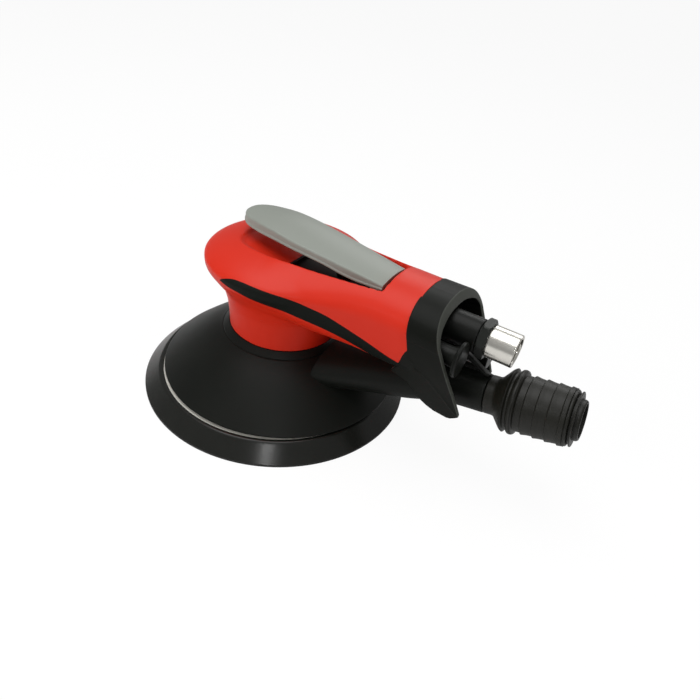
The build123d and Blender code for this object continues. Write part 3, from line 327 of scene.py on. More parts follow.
# ---------------------------------------------------------------------------------------------
# The snap ring: a separate black moulding with a thin groove, which holds the shroud onto the
# body's neck. It is pressed on and needs no screws.
ring_line = rounded([
    (28.5, 31, 0), (31.8, 31, 0.2), (31.85, 34.1, 0.1), (33.4, 34.15, 0.25), (33.3, 34.6, 0.25),
    (30.3, 37.45, 0.3), (28.5, 37.55, 0)])
piece("shroud_snap_ring", turned(ring_line, 200, ring=True), shroud_plastic, "tool_body",
      ["shroud_ring"])


# ---------------------------------------------------------------------------------------------
# The body: one red moulding, a round dome on a neck with the handle growing out of its back. The
# lever's recess runs along its top with soft edges, and it is deeper over the throttle valve.
def blend_low(a, b, k):
    """The lower of two fields, eased over a width k where they are close."""
    h = np.clip(0.5 + 0.5 * (b - a) / k, 0, 1)
    return b + (a - b) * h - k * h * (1 - h)


def blend_high(a, b, k):
    """The higher of two fields, eased in the same way."""
    return -blend_low(-a, -b, k)


def power_length(a, b, power):
    """Length of (a, b) by a power other than two, which squares or flattens an ellipse."""
    return (np.abs(a) ** power + np.abs(b) ** power) ** (1 / power)


# Levels: where dome and handle are widest, the ridge of the handle, and the foot of the neck.
widest, top, neck_foot = 76.6, 92.3, 37.6
dome_radius, crown_height, neck_radius = 42.6, 11, 29.8
# It brings the crown's field to about millimetres at the dome's side.
crown_scale = 26
handle_half_width, handle_drop = 24.3, 23.1
# From here back the handle keeps one section, and its end is cut at this slant.
straight_from, end_slant = 66, 0.22
# From neck to dome: (share of the way out, share of the way up).
neck_line = smooth_line([
    (0, 0), (0.03, 0.16), (0.09, 0.34), (0.17, 0.47), (0.34, 0.63), (0.72, 0.81), (0.96, 0.93), (1, 1)], 200)


def neck_reach(z):
    """Radius of neck and dome at a height below the widest level."""
    share = np.interp((z - neck_foot) / (widest - neck_foot), neck_line[:, 1], neck_line[:, 0])
    return neck_radius + (dome_radius - neck_radius) * share


def skin_field(x, y, z, foot=neck_foot):
    """Below zero inside the body's skin: the dome of revolution and the handle's rounded sections,
    run together. The dome follows the neck's line up to its widest level, and above it a power of
    the radius and a power of the height add up to one. Each section of the handle is an ellipse of
    a higher or lower power, whose half width, rise and drop change towards the dome. The foot is
    the lowest level that the dome counts to."""
    rho, up = np.hypot(x, y), z - widest
    crown = crown_scale * ((rho / dome_radius) ** 1.6 + (np.maximum(up - 1, 0) / crown_height) ** 1.7 - 1)
    dome = np.where(up > 1, crown, np.maximum(rho - neck_reach(z), foot - z))
    back = ramp(x, 0, straight_from)
    half = handle_half_width + 14.0 * np.cos(0.5 * np.pi * back) ** 2 - 6 * (1 - ramp(x, 0, 10)) ** 2
    drop = handle_drop - 4.5 * (1 - ramp(x, 0, 36))
    rise = top - widest - 3.4 * (1 - ramp(x, 0, 20)) ** 2
    rise = rise - 0.8 * np.cos(0.5 * np.pi * np.clip((x - 28) / 24, -1, 1)) ** 2
    over = power_length(y / half, np.maximum(up, 0) / rise, 1.6 + 0.55 * ramp(x, 24, 42))
    under = power_length(y / half, np.maximum(-up, 0) / drop, 2 + 2 * back)
    handle = half * (np.where(up > 0, over, under) - 1)
    handle = np.where(x < 0, np.maximum(handle, -3 * x), handle)
    return blend_low(dome, handle, 3.0)


recess_floor, nose_floor, well_depth = 81.5, 84.4, 2.9
# The recess is widest here, 28.5 mm behind the front of its round nose, and ends at its rear wall.
recess_widest, nose_length, recess_rear = 10, 28.5, 62


def recess_height(x, y):
    """Height of the recess's surface: its floor with a ramp up to the nose, walls that rise with
    the distance outside the floor's outline, the rear wall, and a step down to the valve's well.
    The outline is straight at the sides and an ellipse of a high power round the nose."""
    power = 4.3
    back = ramp(x, recess_widest, recess_rear - recess_widest)
    wide = 17 - 3.7 * back
    ahead, aside = np.maximum(recess_widest - x, 0) / nose_length, np.abs(y) / wide
    share = power_length(ahead, aside, power)
    outside = (share - 1) * (nose_length * ahead ** power + wide * aside ** power) / share ** power
    wall = recess_floor + outside / (0.85 * (1 - 0.65 * back))
    well = ramp(x, 9.8, 0.5) * np.clip((16.3 - 3.0 * back - np.abs(y)) / 0.5, 0, 1)
    ground = np.interp(x, (-13.0, 9.5), (nose_floor, recess_floor)) - well_depth * well
    rear_wall = recess_floor + 8 * (x - recess_rear)
    return blend_high(blend_high(ground, rear_wall, 0.5), wall, 2.2 - 1.6 * ramp(x, 4, 6))


def sunk(points):
    """Drops the skin's upper side into the recess, with a soft rim where the two meet."""
    x, y, z = points[..., 0], points[..., 1], points[..., 2]
    lowered = blend_low(z, recess_height(x, y), 1.0)
    return np.stack([x, y, np.where(z > widest, lowered, z)], -1)


def reach(field, start, way, far):
    """Points where the field turns positive along a direction from points inside: the interval that
    holds the change of sign is halved until it is thin."""
    near = np.zeros(way.shape[:-1])
    far = np.full(way.shape[:-1], float(far))
    for _ in range(24):
        middle = 0.5 * (near + far)
        at = start + middle[..., None] * way
        outside = field(at[..., 0], at[..., 1], at[..., 2]) > 0
        near, far = np.where(outside, near, middle), np.where(outside, middle, far)
    return start + (0.5 * (near + far))[..., None] * way


def front_half():
    """Rays from a point on the neck's axis, over half a turn and from straight down to straight up,
    carried out to the skin and then sunk. The flat cut at the axis is closed by one face."""
    turn = np.linspace(0.5 * np.pi, 1.5 * np.pi, 130)[:, None]
    lift = np.linspace(-0.5 * np.pi, 0.5 * np.pi, 220)[None, :]
    level = np.cos(lift)
    way = np.stack(np.broadcast_arrays(np.cos(turn) * level, np.sin(turn) * level, np.sin(lift)), -1)
    points = sunk(reach(skin_field, np.array((0.0, 0.0, 55.0)), way, 70))
    rows, columns = points.shape[:2]
    faces = quads(rows, columns, ring_columns=False).tolist()
    faces.append([*range(columns), *range(rows * columns - 2, (rows - 1) * columns, -1)])
    return points.reshape(-1, 3), faces


def capped(rows, columns, ring_columns=True):
    """Faces of a grid of points whose first and last rows are each closed by one face."""
    faces = quads(rows, columns, ring_columns=ring_columns).tolist()
    return faces + [[*range(columns)], [*range((rows - 1) * columns, rows * columns)][::-1]]


# The level of the air inlet's axis, and where the handle's slanted end crosses it along X.
inlet_level, handle_end = 77.2, 83.2


def handle_half():
    """Rays round the handle's middle line in planes across it, which lean more and more until the
    last lies in the slanted end of the moulding."""
    middle_level = 62
    share = np.linspace(0, 1, 180)[:, None]
    angle = np.linspace(0, 2 * np.pi, 330, endpoint=False)[None, :]
    lean = -end_slant * share
    way = np.stack(np.broadcast_arrays(lean * np.sin(angle), np.cos(angle), np.sin(angle)), -1)
    along = share * handle_end - lean * (inlet_level - middle_level)
    start = np.stack(np.broadcast_arrays(along, 0 * share, middle_level + 0 * share), -1)

    def field(x, y, z):
        """The body's skin without the neck, which neck_back() makes."""
        return skin_field(x, y, z, 55.0)

    points = sunk(reach(field, start, way, 60))
    return points.reshape(-1, 3), capped(*points.shape[:2])


def neck_back():
    """The half of the neck under the handle: its profile turned through half a circle, closed
    along the axis."""
    neck_top = 55.6
    level = np.linspace(neck_foot, neck_top, 40)
    line = np.vstack([[(0, neck_foot)], np.column_stack([neck_reach(level) - 0.01, level]), [(0, neck_top)]])
    turn = np.linspace(-0.505 * np.pi, 0.505 * np.pi, 90)[None, :]
    radius, height = line[:, :1], line[:, 1:]
    points = np.stack(np.broadcast_arrays(radius * np.cos(turn), radius * np.sin(turn), height), -1)
    return points.reshape(-1, 3), quads(*points.shape[:2], ring_rows=True, ring_columns=False)


# Glass-filled nylon: an even orange red whose highlights are broad and soft.
red_plastic = moulded("red_glass_filled_nylon", "#E12E16", "#D72912", 0.4, 0.5, 0.012, cloud=40.0, shine=0.26)
piece("body_moulding", joined(front_half(), handle_half(), neck_back()), red_plastic,
      "tool_body", ["housing"], 50)


# ---------------------------------------------------------------------------------------------
# The grips: two soft black strips moulded into the body's sides, from a point beside the dome to
# the collar. They lie flush, with a fine sunk edge. The edges are given as (place along X, level).
grip_tip, grip_length = -10.5, 96.5
grip_upper = smooth_line([
    (-10.5, 76.0), (-7.5, 78.2), (-2.5, 79.8), (3.5, 80.1), (10.0, 79.8), (18.0, 79.0), (25.0, 77.8),
    (33.0, 75.6), (42.0, 73.3), (50.0, 70.3), (58.0, 67.5), (67.0, 65.0), (77.0, 62.4), (88.0, 61.2)], 600)
grip_lower = smooth_line([
    (-10.5, 75.9), (-4.4, 75.0), (2.5, 74.4), (10.0, 72.4), (17.0, 70.4), (24.5, 68.6), (32.0, 66.8),
    (40.0, 64.9), (50.0, 62.0), (64.0, 57.5), (74.0, 54.2), (88.0, 54.0)], 600)


def grip_skin(side):
    """A grid between the strip's lower and upper edge, carried sideways out to the body's skin,
    then raised or sunk along the skin's slope: a hair proud within, sunk at the edges. The slope is
    how the field changes over a small step along each axis."""
    rows, columns, step = 220, 40, 0.05
    proud, edge_depth, edge_width, thickness = 0.12, 1.0, 0.35, 1.8
    tip_margin = 0.05
    along = (0.5 - 0.5 * np.cos(np.linspace(0, np.pi, rows))) ** 1.15
    across = 0.5 - 0.5 * np.cos(np.linspace(0, np.pi, columns))
    x = grip_tip + grip_length * along
    high = np.interp(x, grip_upper[:, 0], grip_upper[:, 1])
    low = np.interp(x, grip_lower[:, 0], grip_lower[:, 1])
    x = np.broadcast_to(x[:, None], (rows, columns))
    z = low[:, None] + (high - low)[:, None] * across[None, :]
    start = np.stack([x, 0 * x, z], -1)
    skin = reach(skin_field, start, np.broadcast_to(np.array((0.0, side, 0.0)), start.shape), 60)
    slope = np.stack([skin_field(*(skin + step * axis).transpose(2, 0, 1)) for axis in np.eye(3)], -1)
    slope = slope - skin_field(*skin.transpose(2, 0, 1))[..., None]
    slope = slope / np.linalg.norm(slope, axis=-1, keepdims=True)
    margin = np.minimum(across, 1 - across)[None, :] * (high - low)[:, None]
    margin = np.minimum(margin, (x - x[0, 0]) + tip_margin)
    lift = proud - edge_depth * np.clip(1 - margin / edge_width, 0, 1) ** 2
    outer = skin + lift[..., None] * slope
    inner = skin - thickness * slope
    points = np.concatenate([outer, inner[:, ::-1]], 1)
    return points.reshape(-1, 3), capped(rows, 2 * columns)


# Thermoplastic rubber: black, and duller than the plastics beside it.
grip_rubber = moulded("thermoplastic_rubber", "#101310", "#181B17", 0.55, 0.6, 0.03, shine=0.1)
piece("grip_strips_pair", joined(grip_skin(-1.0), grip_skin(1.0)), grip_rubber,
      "tool_body", ["grip_strips"])

# ---------------------------------------------------------------------------------------------
# The end collar: a black hood moulding that caps the handle. Its mouth is cut at a slant, it runs
# down into a fin each side of the dust duct, and an inner wall carries the fittings.
fin_foot, hood_top = 42.3, 92.0
mouth_slant = 0.48


def arch(half_width, count):
    """Half of the hood's outline across it, from a fin's foot up over the shoulder to the crown."""
    return smooth_line([
        (half_width - 5.2, fin_foot), (half_width - 4.1, 49.0), (half_width - 2.9, 56.0),
        (half_width - 1.5, 63.0), (half_width - 0.62, 69.0), (half_width - 0.1, 75.0), (half_width, 79.0),
        (0.955 * half_width, 82.6), (0.86 * half_width, 85.8), (0.7 * half_width, 88.6),
        (0.5 * half_width, 90.6), (0.25 * half_width, 91.7), (0, hood_top)], count)


def crease_height(x):
    """Height of the crease that runs from behind the body's lower corner down to the fin's tip."""
    return np.interp(x, (82.6, 96.8, 113.5), (68.3, 59.6, 46.3))


def body_side(x, z):
    """Half width of the body's skin at a height below its widest level: the handle's lower ellipse."""
    power = 2 + 2 * ramp(x, 0, straight_from)
    inward = np.clip((widest - z) / handle_drop, 0, 1) ** power
    return handle_half_width * np.maximum(1 - inward, 0) ** (1 / power)


def mirrored(half):
    """The other half: the rows in reverse with Y turned round, less the one on the middle line."""
    return half[-2::-1] * np.array((1, -1, 1))


def hood_skin():
    """A closed wall section carried along the arch: outer face from front to mouth, the end face in
    the mouth's slant, and back along the inner face. Front and mouth follow the slanted cuts and the
    fin's outline, the outer face stands a hair proud of the body, and below the crease it turns in."""
    arch_half_width, soft, proud = 25.0, 0.35, 0.1
    side = arch(arch_half_width, 150)
    level = side[:, 1:]
    front = np.interp(
        level, (fin_foot, 43.2, 45.0, 48.5, 52.0, 53.2, 54.0, 57.0, 61.5, 63.5, 67.5, 69.6, 71.0, hood_top),
        (101.0, 97.2, 93.5, 89.8, 85.8, 80.0, 76.4, 78.4, 80.2, 81.0, 82.0, 82.8, 83.75, 79.15))
    back = np.interp(
        level, (fin_foot, 42.7, 44.5, 45.8, 46.4, 50.0, hood_top),
        (108.5, 110.0, 112.3, 113.6, 113.75, 112.06, 91.9))
    wall = np.interp(level, (fin_foot, 46, 60, 80, 86, 90, hood_top), (1.3, 2.0, 2.5, 2.7, 3.6, 4.5, 4.6))
    # Round the section, share is the way from front to mouth, out carries the corners past both
    # ends, deep is one on the inner face, and drawn rounds the corners into the wall.
    edge = np.array([0.0, 0.29, 0.71, 1.0])
    flat = np.linspace(0, 1, 34)[1:-1]
    share = np.concatenate([flat, np.ones(8), flat[::-1], np.zeros(8)])
    out = np.concatenate([0 * flat, edge, edge[::-1], 0 * flat, -edge, -edge[::-1]])
    deep = np.concatenate([0 * flat, 0 * edge, 1 + 0 * edge, 1 + 0 * flat, 1 + 0 * edge, 0 * edge])
    drawn = np.concatenate([0 * flat, edge ** 2, -(edge[::-1] ** 2), 0 * flat, -(edge ** 2), edge[::-1] ** 2])
    x = front + soft + share * (back - front - 2 * soft) + soft * out
    depth = deep * wall + soft * drawn
    # The hood widens a little towards its mouth, and turns in below a raised crease.
    half_width = 24.4 + 2.2 * (x - 74.4) / 45.35
    outer = side[:, :1] * half_width / arch_half_width
    fold = crease_height(x)
    at_fold = half_width - 0.62 - 0.17 * np.maximum(69 - fold, 0)
    below = np.maximum(fold - level, 0)
    outer = np.where(below > 0, np.minimum(outer, at_fold - 0.2 * below), outer)
    outer = outer + 0.22 * np.exp(-((level - fold) / 0.7) ** 2)
    # Where the body lies inside it, the hood keeps just outside the body's skin.
    covered = 87.2 - end_slant * (level - 62)
    flush = body_side(x, level) + proud - 30 * ramp(x, covered, 7) ** 2
    outer = np.where(level < widest, np.maximum(outer, flush), outer + proud)
    step = np.gradient(side, axis=0)
    normal = np.stack([-step[:, 1], step[:, 0]], -1)
    normal = normal / np.linalg.norm(normal, axis=1, keepdims=True)
    x = x - mouth_slant * share * normal[:, 1:] * depth
    half = np.stack([x, np.maximum(outer + normal[:, :1] * depth, 0), level + normal[:, 1:] * depth], -1)
    half[-1, :, 1] = 0
    points = np.concatenate([half, mirrored(half)], 0)
    return points.reshape(-1, 3), capped(*points.shape[:2])


def inner_wall():
    """A flat slanted slab that fills the arch: rows of points from one side to the other at each
    level, on a front plane and on a back plane, and a band of faces round the rim."""
    inset = 0.8
    side = arch(24.2, 60)
    side = side[side[:, 1] > 55.2]
    y = (side[:, :1] - inset) * np.linspace(-1, 1, 40)
    z = side[:, 1:] - inset + 0 * y
    slant = -end_slant * (z - inlet_level)
    layers = [np.stack([82.4 + slant + shift + 0 * y, y, z], -1) for shift in (0.3, 4.5)]
    rows, columns = y.shape
    front = quads(rows, columns, ring_columns=False)
    rim = np.concatenate([
        np.arange(columns), np.arange(1, rows) * columns + columns - 1,
        (rows - 1) * columns + np.arange(columns - 2, -1, -1), np.arange(rows - 2, 0, -1) * columns])
    after = np.roll(rim, -1)
    band = np.stack([rim, after, after + rows * columns, rim + rows * columns], -1)
    points = np.concatenate([layer.reshape(-1, 3) for layer in layers])
    return points, np.concatenate([front, front[:, ::-1] + rows * columns, band])


def paint_light_past(material, way, start, colour):
    """Mixes a lighter colour in where the place, measured along a direction, lies past a start in
    metres: a painted sheen, which makes a cut end lighter in its base colour. The change takes 0.3 mm."""
    shader = next(node for node in material.node_tree.nodes if node.type == "BSDF_PRINCIPLED")
    place = add(material, "ShaderNodeTexCoord").outputs["Object"]
    along = add(material, "ShaderNodeVectorMath", {0: place, 1: way}, operation="DOT_PRODUCT")
    share = add(material, "ShaderNodeMapRange", {0: along.outputs["Value"], 1: start, 2: start + 0.0003})
    inner = shader.inputs["Base Color"].links[0].from_socket
    mixed = add(material, "ShaderNodeMix", {
        0: share.outputs[0], 6: inner, 7: linear(colour)}, data_type="RGBA")
    material.node_tree.links.new(mixed.outputs[2], shader.inputs["Base Color"])


# Glass-filled nylon: black with a weak, soft gloss, and a painted sheen that makes the mouth's cut face a
# lighter dark grey.
hood_plastic = moulded("black_glass_filled_nylon", "#131511", "#0E100C", 0.42, 0.5, 0.02, shine=0.12)
paint_light_past(hood_plastic, (1.0, 0.0, mouth_slant), 0.1355, "#484A45")
piece("end_hood", joined(hood_skin(), inner_wall()), hood_plastic,
      "tool_body", ["end_collar"], 28)

# ---------------------------------------------------------------------------------------------
# The lever: a pressed and painted paddle with a crowned top, a rolled edge and a skirt all round
# except at its hinge. It turns on a pin across the rear of the recess. The ridge is the height
# along its middle, and the hem is where the skirt ends, both as (place along X, level).
lever_ridge = smooth_line([
    (-32, 94.3), (-25, 96.0), (-12, 97.35), (0, 97.45), (20, 95.4), (40, 92.9), (64, 89.8)], 300)
lever_hem = smooth_line([
    (-32, 93.2), (-22, 91.5), (-12, 90.9), (0, 91.0), (10, 90.4), (20, 89.6), (30, 88.5), (40, 86.8),
    (50, 86.1), (64, 86.6)], 300)


def lever_skin():
    """Sections carried round the paddle's outline in plan, from one rear corner over the tip to the
    other: from the middle line out over the top, round the rolled edge, down the skirt and back
    under the plate. Heights follow the ridge line less the crown, which grows as the square of Y."""
    plan = smooth_line([
        (60.8, 11.7), (48, 12.45), (34, 13.4), (20, 14.25), (8, 14.5), (-4, 13.6), (-12, 12.2),
        (-19, 10.4), (-23.2, 7.6), (-25.6, 3.9), (-26.2, 0)], 150)
    step = np.gradient(plan, axis=0)
    inward = np.stack([-step[:, 1], step[:, 0]], -1)
    inward = inward / np.linalg.norm(inward, axis=1, keepdims=True)
    inward = np.where((inward * (plan - np.array((20.0, 0.0)))).sum(1, keepdims=True) > 0, -inward, inward)
    inward[0], inward[-1] = (0, -1), (1, 0)

    def height(at, drop=0):
        """Height of the crowned top at places in plan, less a drop."""
        return np.interp(at[:, 0], lever_ridge[:, 0], lever_ridge[:, 1]) - at[:, 1] ** 2 / 96 - drop

    spine = np.stack([np.maximum(plan[:, 0], -11.0), 0 * plan[:, 0]], -1)
    roll, wall, bead = 1.1, 2.0, 0.4
    rings = []
    rim = plan + inward * (roll + bead)
    for share in np.linspace(0, 1, 16):
        at = spine + (rim - spine) * share
        rings.append(np.column_stack([at, height(at)]))
    for angle in np.linspace(0, 0.5 * np.pi, 7)[1:]:
        at = plan + inward * (bead + roll * (1 - np.sin(angle)))
        rings.append(np.column_stack([at, height(rim) - roll * (1 - np.cos(angle))]))
    # Down the skirt to the bead along its hem: each row has an inset, the share of the skirt's
    # length that is left, and the least height above the hem.
    foot = np.interp(plan[:, 0], lever_hem[:, 0], lever_hem[:, 1])
    skirt = height(rim) - roll - foot
    for inset, share, above in (
            (bead, 1, 0.02), (bead, 0.5, 0.6), (bead, 0, 1.35), (0.75 * bead, 0, 1.2), (0.3 * bead, 0, 1.02),
            (0, 0, 0.75), (0, 0, 0.35), (0.1, 0, 0.1), (0.35, 0, 0)):
        rings.append(np.column_stack([plan + inward * inset, foot + np.maximum(above, skirt * share - 0.05)]))
    rings.append(np.column_stack([plan + inward * (wall - 0.5), foot]))
    under = plan + inward * wall
    rings.append(np.column_stack([under, foot + 0.3]))
    for share in (1.0, 0.9, 0.5, 0.0):
        at = spine + (under - spine) * share
        rings.append(np.column_stack([at, height(at, wall)]))
    half = np.stack(rings, 1)
    points = np.concatenate([half, mirrored(half)], 0)
    return points.reshape(-1, 3), capped(*points.shape[:2], ring_columns=False)


def aimed(shape, place, way):
    """Turns a shape drawn along Z onto a direction other than Y and moves it to a place."""
    forward = np.asarray(way, float) / np.linalg.norm(way)
    side = np.cross((0.0, 1.0, 0.0), forward)
    side = side / np.linalg.norm(side)
    return shape[0] @ np.stack([side, np.cross(forward, side), forward]) + np.asarray(place, float), shape[1]


def beam(radius, length, place, way):
    """A round bar with eased ends, starting at a place and running along a direction."""
    edge = 0.25
    line = rounded([(0, 0, 0), (radius, 0, edge), (radius, length, edge), (0, length, 0)], 4)
    return aimed(turned(line, 48), place, way)


# Satin powder coat: a greenish mid grey with a soft highlight. The hub runs along Y but for a hair,
# because aimed() can't turn a shape onto Y itself.
lever_paint = moulded("satin_powder_coat", "#90958D", "#979B93", 0.42, 0.45, 0.012, cloud=60.0, shine=0.4)
lever_hub = beam(3.2, 22.4, (57.0, -11.2, 83.5), (0.0001, 1.0, 0.0))
piece("paddle_lever", joined(lever_skin(), lever_hub), lever_paint, "lever", ["lever"], 50)


# ---------------------------------------------------------------------------------------------
# The air inlet: a black bushing boss screwed into the body, a black hexagon nut, and a bright
# nickel-plated tube end, open, with a bore for the hose's plug.
def metal(name, colour, tint, roughness, line_width, axis, metallic=1.0):
    """Turned or ground metal: fine rings across an axis in the gloss and height, over clouds of two
    close colours. The line width is in millimetres, drawn coarser than the tool's real feed so that
    it shows, and the lines are 0.01 mm deep."""
    material = emptied(bpy.data.materials.new(name))
    place = add(material, "ShaderNodeTexCoord").outputs["Object"]
    squeezed = add(material, "ShaderNodeMapping", {
        "Vector": place, "Scale": [1000 / line_width if k == axis else 6.0 for k in range(3)]})
    rings = add(material, "ShaderNodeTexNoise", {"Vector": squeezed.outputs[0], "Scale": 1.0, "Detail": 2.0})
    drift = add(material, "ShaderNodeTexNoise", {"Vector": place, "Scale": 60.0, "Detail": 3.0})
    tone = add(material, "ShaderNodeMix", {
        0: drift.outputs[0], 6: linear(colour), 7: linear(tint)}, data_type="RGBA")
    gloss = add(material, "ShaderNodeMapRange", {
        0: rings.outputs[0], 3: roughness - 0.03, 4: roughness + 0.05})
    relief = add(material, "ShaderNodeBump", {
        "Height": rings.outputs[0], "Strength": 0.1, "Distance": 0.00001})
    shader = add(material, "ShaderNodeBsdfPrincipled", {
        "Base Color": tone.outputs[2], "Roughness": gloss.outputs[0], "Normal": relief.outputs[0],
        "Metallic": metallic})
    add(material, "ShaderNodeOutputMaterial", {"Surface": shader.outputs[0]})
    return material


# Anodised aluminium, dyed black: as dark as the hood and a little glossier.
rearward = (1.0, 0.0, 0.0)
black_metal = moulded(
    "black_anodised_aluminium", "#131412", "#1A1B19", 0.36, 0.5, 0.006, metallic=0.1, shine=0.16)
boss_line = rounded([
    (0, 0, 0), (8.2, 0, 0.2), (8.2, 19.0, 0.7), (7.3, 19.0, 0.2), (7.3, 18.2, 0.1), (0, 18.2, 0)], 5)
boss = aimed(turned(boss_line, 96), (89.0, 0, inlet_level), rearward)
piece("inlet_boss", joined(boss, beam(6.6, 20.5, (69.5, 0, inlet_level), rearward)), black_metal,
      "tool_body", ["inlet_bushing"])


def hexagon_nut(flat, length, bore):
    """A hexagon whose corners are cut back by a cone at both ends: the radius at each angle is the
    flat's distance over the cosine, but no more than the cone's there."""
    count = 180
    angle = np.linspace(0, 2 * np.pi, count, endpoint=False)
    apothem = flat / 2
    corner = apothem / np.cos((angle + np.pi / 6) % (np.pi / 3) - np.pi / 6)
    near_end = np.array([0, 0.02, 0.25, 0.6, 1.0])
    height = np.concatenate([near_end, length - near_end[::-1]])
    end = np.minimum(height, length - height)
    cone = apothem + 0.15 + 1.7 * end ** 0.8
    radius = np.minimum(np.minimum(corner[None, :], corner.max() - 0.12), cone[:, None])
    radius = np.vstack([np.full((1, count), bore), radius, np.full((1, count), bore)])
    height = np.concatenate([[0], height, [length]])[:, None]
    points = np.stack(np.broadcast_arrays(radius * np.cos(angle), radius * np.sin(angle), height), -1)
    return points.reshape(-1, 3), quads(len(height), count, ring_rows=True)


# Black oxide on steel keeps a dull metal glint, and nickel plate is bright with clear reflections.
black_oxide = metal("black_oxide_steel", "#1E201D", "#272926", 0.42, 0.3, 0, metallic=0.5)
nickel = metal("turned_nickel_plate", "#EFEDE6", "#E2DFD6", 0.24, 0.25, 0)
nut = aimed(hexagon_nut(17.0, 4.0, 5.5), (108.5, 0, inlet_level), rearward)
flange = beam(7.5, 0.9, (107.8, 0, inlet_level), rearward)
piece("hexagon_nut", joined(nut, flange), black_oxide, "tool_body", ["hex_nut"], 30)
tube_line = rounded([
    (5.4, -3, 0), (5.4, 0.1, 0.1), (6.9, 0.1, 0.1), (6.9, 0.55, 0.1), (7.8, 0.6, 0.25), (7.8, 13.1, 0.45),
    (6.7, 13.1, 0.3), (6.2, 12.3, 0.2), (6.2, 3.1, 0.2), (3.5, 2.6, 0.2), (3.5, -3, 0)], 5)
piece("inlet_tube", aimed(turned(tube_line, 128, ring=True), (112.5, 0, inlet_level), rearward), nickel,
      "tool_body", ["inlet_nipple"])

# ---------------------------------------------------------------------------------------------
# The speed regulator: a mushroom knob of black acetal on a stem, which turns a brass spool in the
# body and is held by a spring-wire clip across its neck. The plastic is smooth, with a soft gloss.
knob_plastic = moulded("black_acetal", "#141513", "#1B1D1A", 0.36, 0.5, 0.008, shine=0.18)
knob_line = rounded([
    (0, 0, 0), (3.6, 0, 0.2), (3.6, 1.7, 0.2), (4.6, 1.7, 0.4), (4.6, 12.0, 1.6), (5.2, 15.3, 0.6),
    (8.5, 15.55, 0.9), (8.5, 17.6, 1.0), (5.0, 18.0, 1.2), (0, 18.0, 0)])
piece("regulator_mushroom", aimed(turned(knob_line, 96), (89.2, -16.0, 72.1), rearward), knob_plastic,
      "regulator", ["regulator_knob"])

# ---------------------------------------------------------------------------------------------
# The muffler: a round can of the same black plastic over a felt plug, with a thinner neck that goes
# through the hood's inner wall into the body.
muffler_line = rounded([(0, 0, 0), (6.8, 0, 0.3), (6.8, 22.6, 0.9), (0, 22.6, 0)])
can = aimed(turned(muffler_line, 96), (90.4, 12.0, 61.6), rearward)
can_neck = beam(4.6, 13, (78.4, 12.0, 61.6), rearward)
piece("muffler_can", joined(can, can_neck), knob_plastic, "tool_body", ["muffler_shell"])

# ---------------------------------------------------------------------------------------------
# The hose adapter: a black moulding that swivels on the duct's end, with a cone, a rounded edge, a
# bead, a ribbed barrel for the hose cuff, and a separate inner sleeve.
duct_way = (1.0, 0.0, duct_slope)


def barrel_line():
    """The adapter's outline: cone, edge, bead and four ribs, each steep towards the tool and
    easing down towards the hose."""
    first_rib, rib_spacing = 19.0, 5.4
    corners = [
        (7.25, -11, 0), (7.25, 0.35, 0.1), (9.3, 0.4, 0.2), (9.3, 5.0, 1.2), (14.7, 9.6, 0.9),
        (15.3, 10.7, 0.6), (13.8, 11.6, 0.35), (13.8, 12.6, 0.3), (15.2, 13.2, 0.6), (15.5, 14.4, 0.6),
        (15.1, 15.6, 0.6), (13.3, 16.1, 0.3)]
    for k in range(4):
        foot = first_rib + rib_spacing * k
        corners += [
            (13.2 - 0.03 * k, foot, 0.15), (13.98 - 0.08 * k, foot + 0.4, 0.22),
            (13.5 - 0.05 * k, foot + 2.6, 0.5)]
    corners += [
        (13.1, 37.6, 0.4), (13.05, 38.8, 0.5), (12.2, 39.4, 0.4), (11.0, 39.4, 0.15), (11.0, 40.3, 0.15),
        (12.7, 40.3, 0.2), (12.7, 40.95, 0.25), (9.6, 41.0, 0.15), (9.56, 39.0, 0.1), (9.56, 10.6, 0.1),
        (5.6, 7.6, 0.2), (5.6, -11, 0)]
    return rounded(corners, 5)


# Polypropylene: black with a brown tinge, glossier than the hood.
adapter_plastic = moulded("black_polypropylene", "#151410", "#1E1E17", 0.44, 0.6, 0.015, shine=0.34)
piece("hose_barrel", aimed(turned(barrel_line(), 144, ring=True), mouth, duct_way), adapter_plastic,
      "adapter", ["hose_adapter"])
sleeve_line = rounded([
    (8.0, 11, 0), (9.5, 11, 0.1), (9.5, 42.6, 0.6), (8.9, 43.4, 0.3), (8.0, 43.4, 0.3), (8.0, 11.4, 0.1),
    (8.0, 11, 0)], 5)
piece("hose_sleeve", aimed(turned(sleeve_line, 128, ring=True), mouth, duct_way), adapter_plastic,
      "adapter", ["adapter_sleeve"])


# ---------------------------------------------------------------------------------------------
# The duct latch: a sprung finger in the boss's black finish that runs out of the hood's inner wall
# and bends down onto the duct's end, where it is rounded off.
def latch_finger():
    """Squared ovals carried along the finger's middle line, square to it; they get thinner towards
    the foot and narrow to a round end. A sine and a cosine to a low power square the oval."""
    path = smooth_line([
        (89.7, 66.15), (96, 66.15), (101, 66.1), (105, 65.2), (109.5, 62.9), (113.5, 60.7), (116.2, 59.7),
        (118.1, 59.7)], 60)
    step = np.gradient(path, axis=0)
    step = step / np.linalg.norm(step, axis=1, keepdims=True)
    x = path[:, :1]
    thick = np.interp(x, (89.7, 104, 112, 118.2), (1.2, 1.2, 0.95, 0.6))
    wide = 1.79 * np.sqrt(np.clip(1 - (np.maximum(x - 115.6, 0) / 2.6) ** 2, 0.02, 1))
    angle = np.linspace(0, 2 * np.pi, 32, endpoint=False)[None, :]
    aside = wide * np.sign(np.cos(angle)) * np.abs(np.cos(angle)) ** 0.6
    above = thick * np.sign(np.sin(angle)) * np.abs(np.sin(angle)) ** 0.6
    points = np.stack([x - step[:, 1:] * above, aside, path[:, 1:] + step[:, :1] * above], -1)
    return points.reshape(-1, 3), capped(*points.shape[:2])


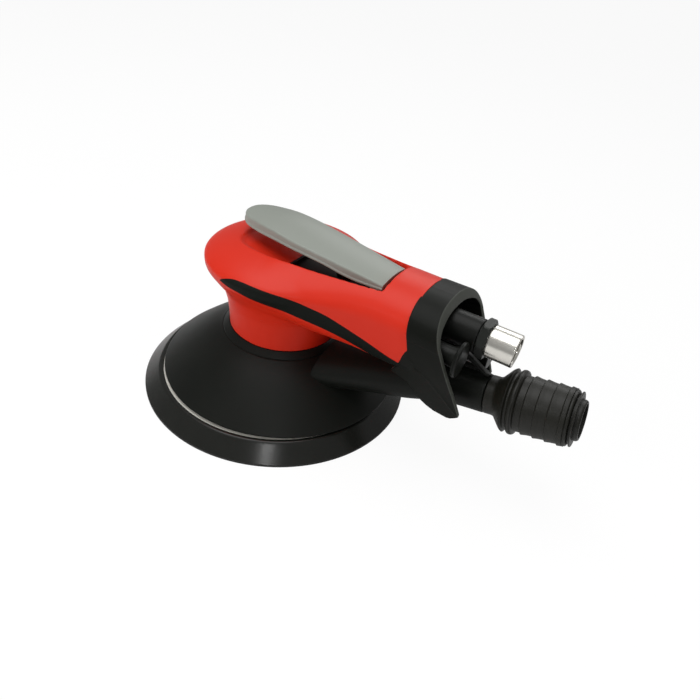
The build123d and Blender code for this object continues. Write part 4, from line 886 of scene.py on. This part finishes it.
piece("sprung_finger", latch_finger(), black_metal, "tool_body", ["duct_latch"])

# ---------------------------------------------------------------------------------------------
# The pieces that need no more than their finish: the hook face, the tray round the valve, and the
# works inside the body, which show only when the tool is opened. Ground bearing steel is bright and
# fine-lined, drawn wire and turned brass are a little softer, and cast aluminium is pale and dull.
bright_steel = metal("ground_bearing_steel", "#B3B5B2", "#A6A8A5", 0.25, 0.3, 2)
dark_steel = metal("blackened_spring_steel", "#3B3D3B", "#454745", 0.4, 0.3, 2, metallic=0.8)
wire_steel = metal("drawn_spring_wire", "#9C9E9B", "#8B8D8A", 0.3, 0.2, 2)
brass = metal("turned_brass", "#B79457", "#A98648", 0.28, 0.25, 2)
cast_aluminium = metal("die_cast_aluminium", "#B9BBBC", "#ABADAE", 0.42, 0.8, 2)
# Nitrile and the tray's plastic are dull black, felt is grey and soft, and the vanes' laminate is a
# half-matt brown.
nitrile = moulded("nitrile_rubber", "#151615", "#1D1F1D", 0.5, 0.5, 0.02)
tray_plastic = moulded("black_tray_moulding", "#0C0D0B", "#121310", 0.55, 0.6, 0.02, shine=0.25)
felt = moulded("pressed_felt", "#76746A", "#66645B", 0.95, 1.5, 0.4)
laminate = moulded("phenolic_laminate", "#5F4A33", "#6C563D", 0.55, 0.8, 0.03)
finishes = {
    "red_body": red_plastic, "grip_rubber": grip_rubber, "collar_black": hood_plastic,
    "liner_black": tray_plastic, "lever_grey": lever_paint, "steel": bright_steel,
    "steel_dark": dark_steel, "spring_steel": wire_steel, "brass": brass, "seal_rubber": nitrile,
    "hook": hook_nylon, "pad_rubber": pad_skin, "pad_plate": plate_nylon,
    "shroud_black": shroud_plastic, "cast_alu": cast_aluminium, "bright_nickel": nickel,
    "black_metal": black_metal, "knob_black": knob_plastic, "felt": felt, "vane": laminate,
    "adapter_black": adapter_plastic,
}
for part in frame["record"]["subparts"]:
    node = frame["nodes"][part["node"]]
    for place in range(len(node.data.materials)):
        node.data.materials[place] = finishes[part["material_slot"]]
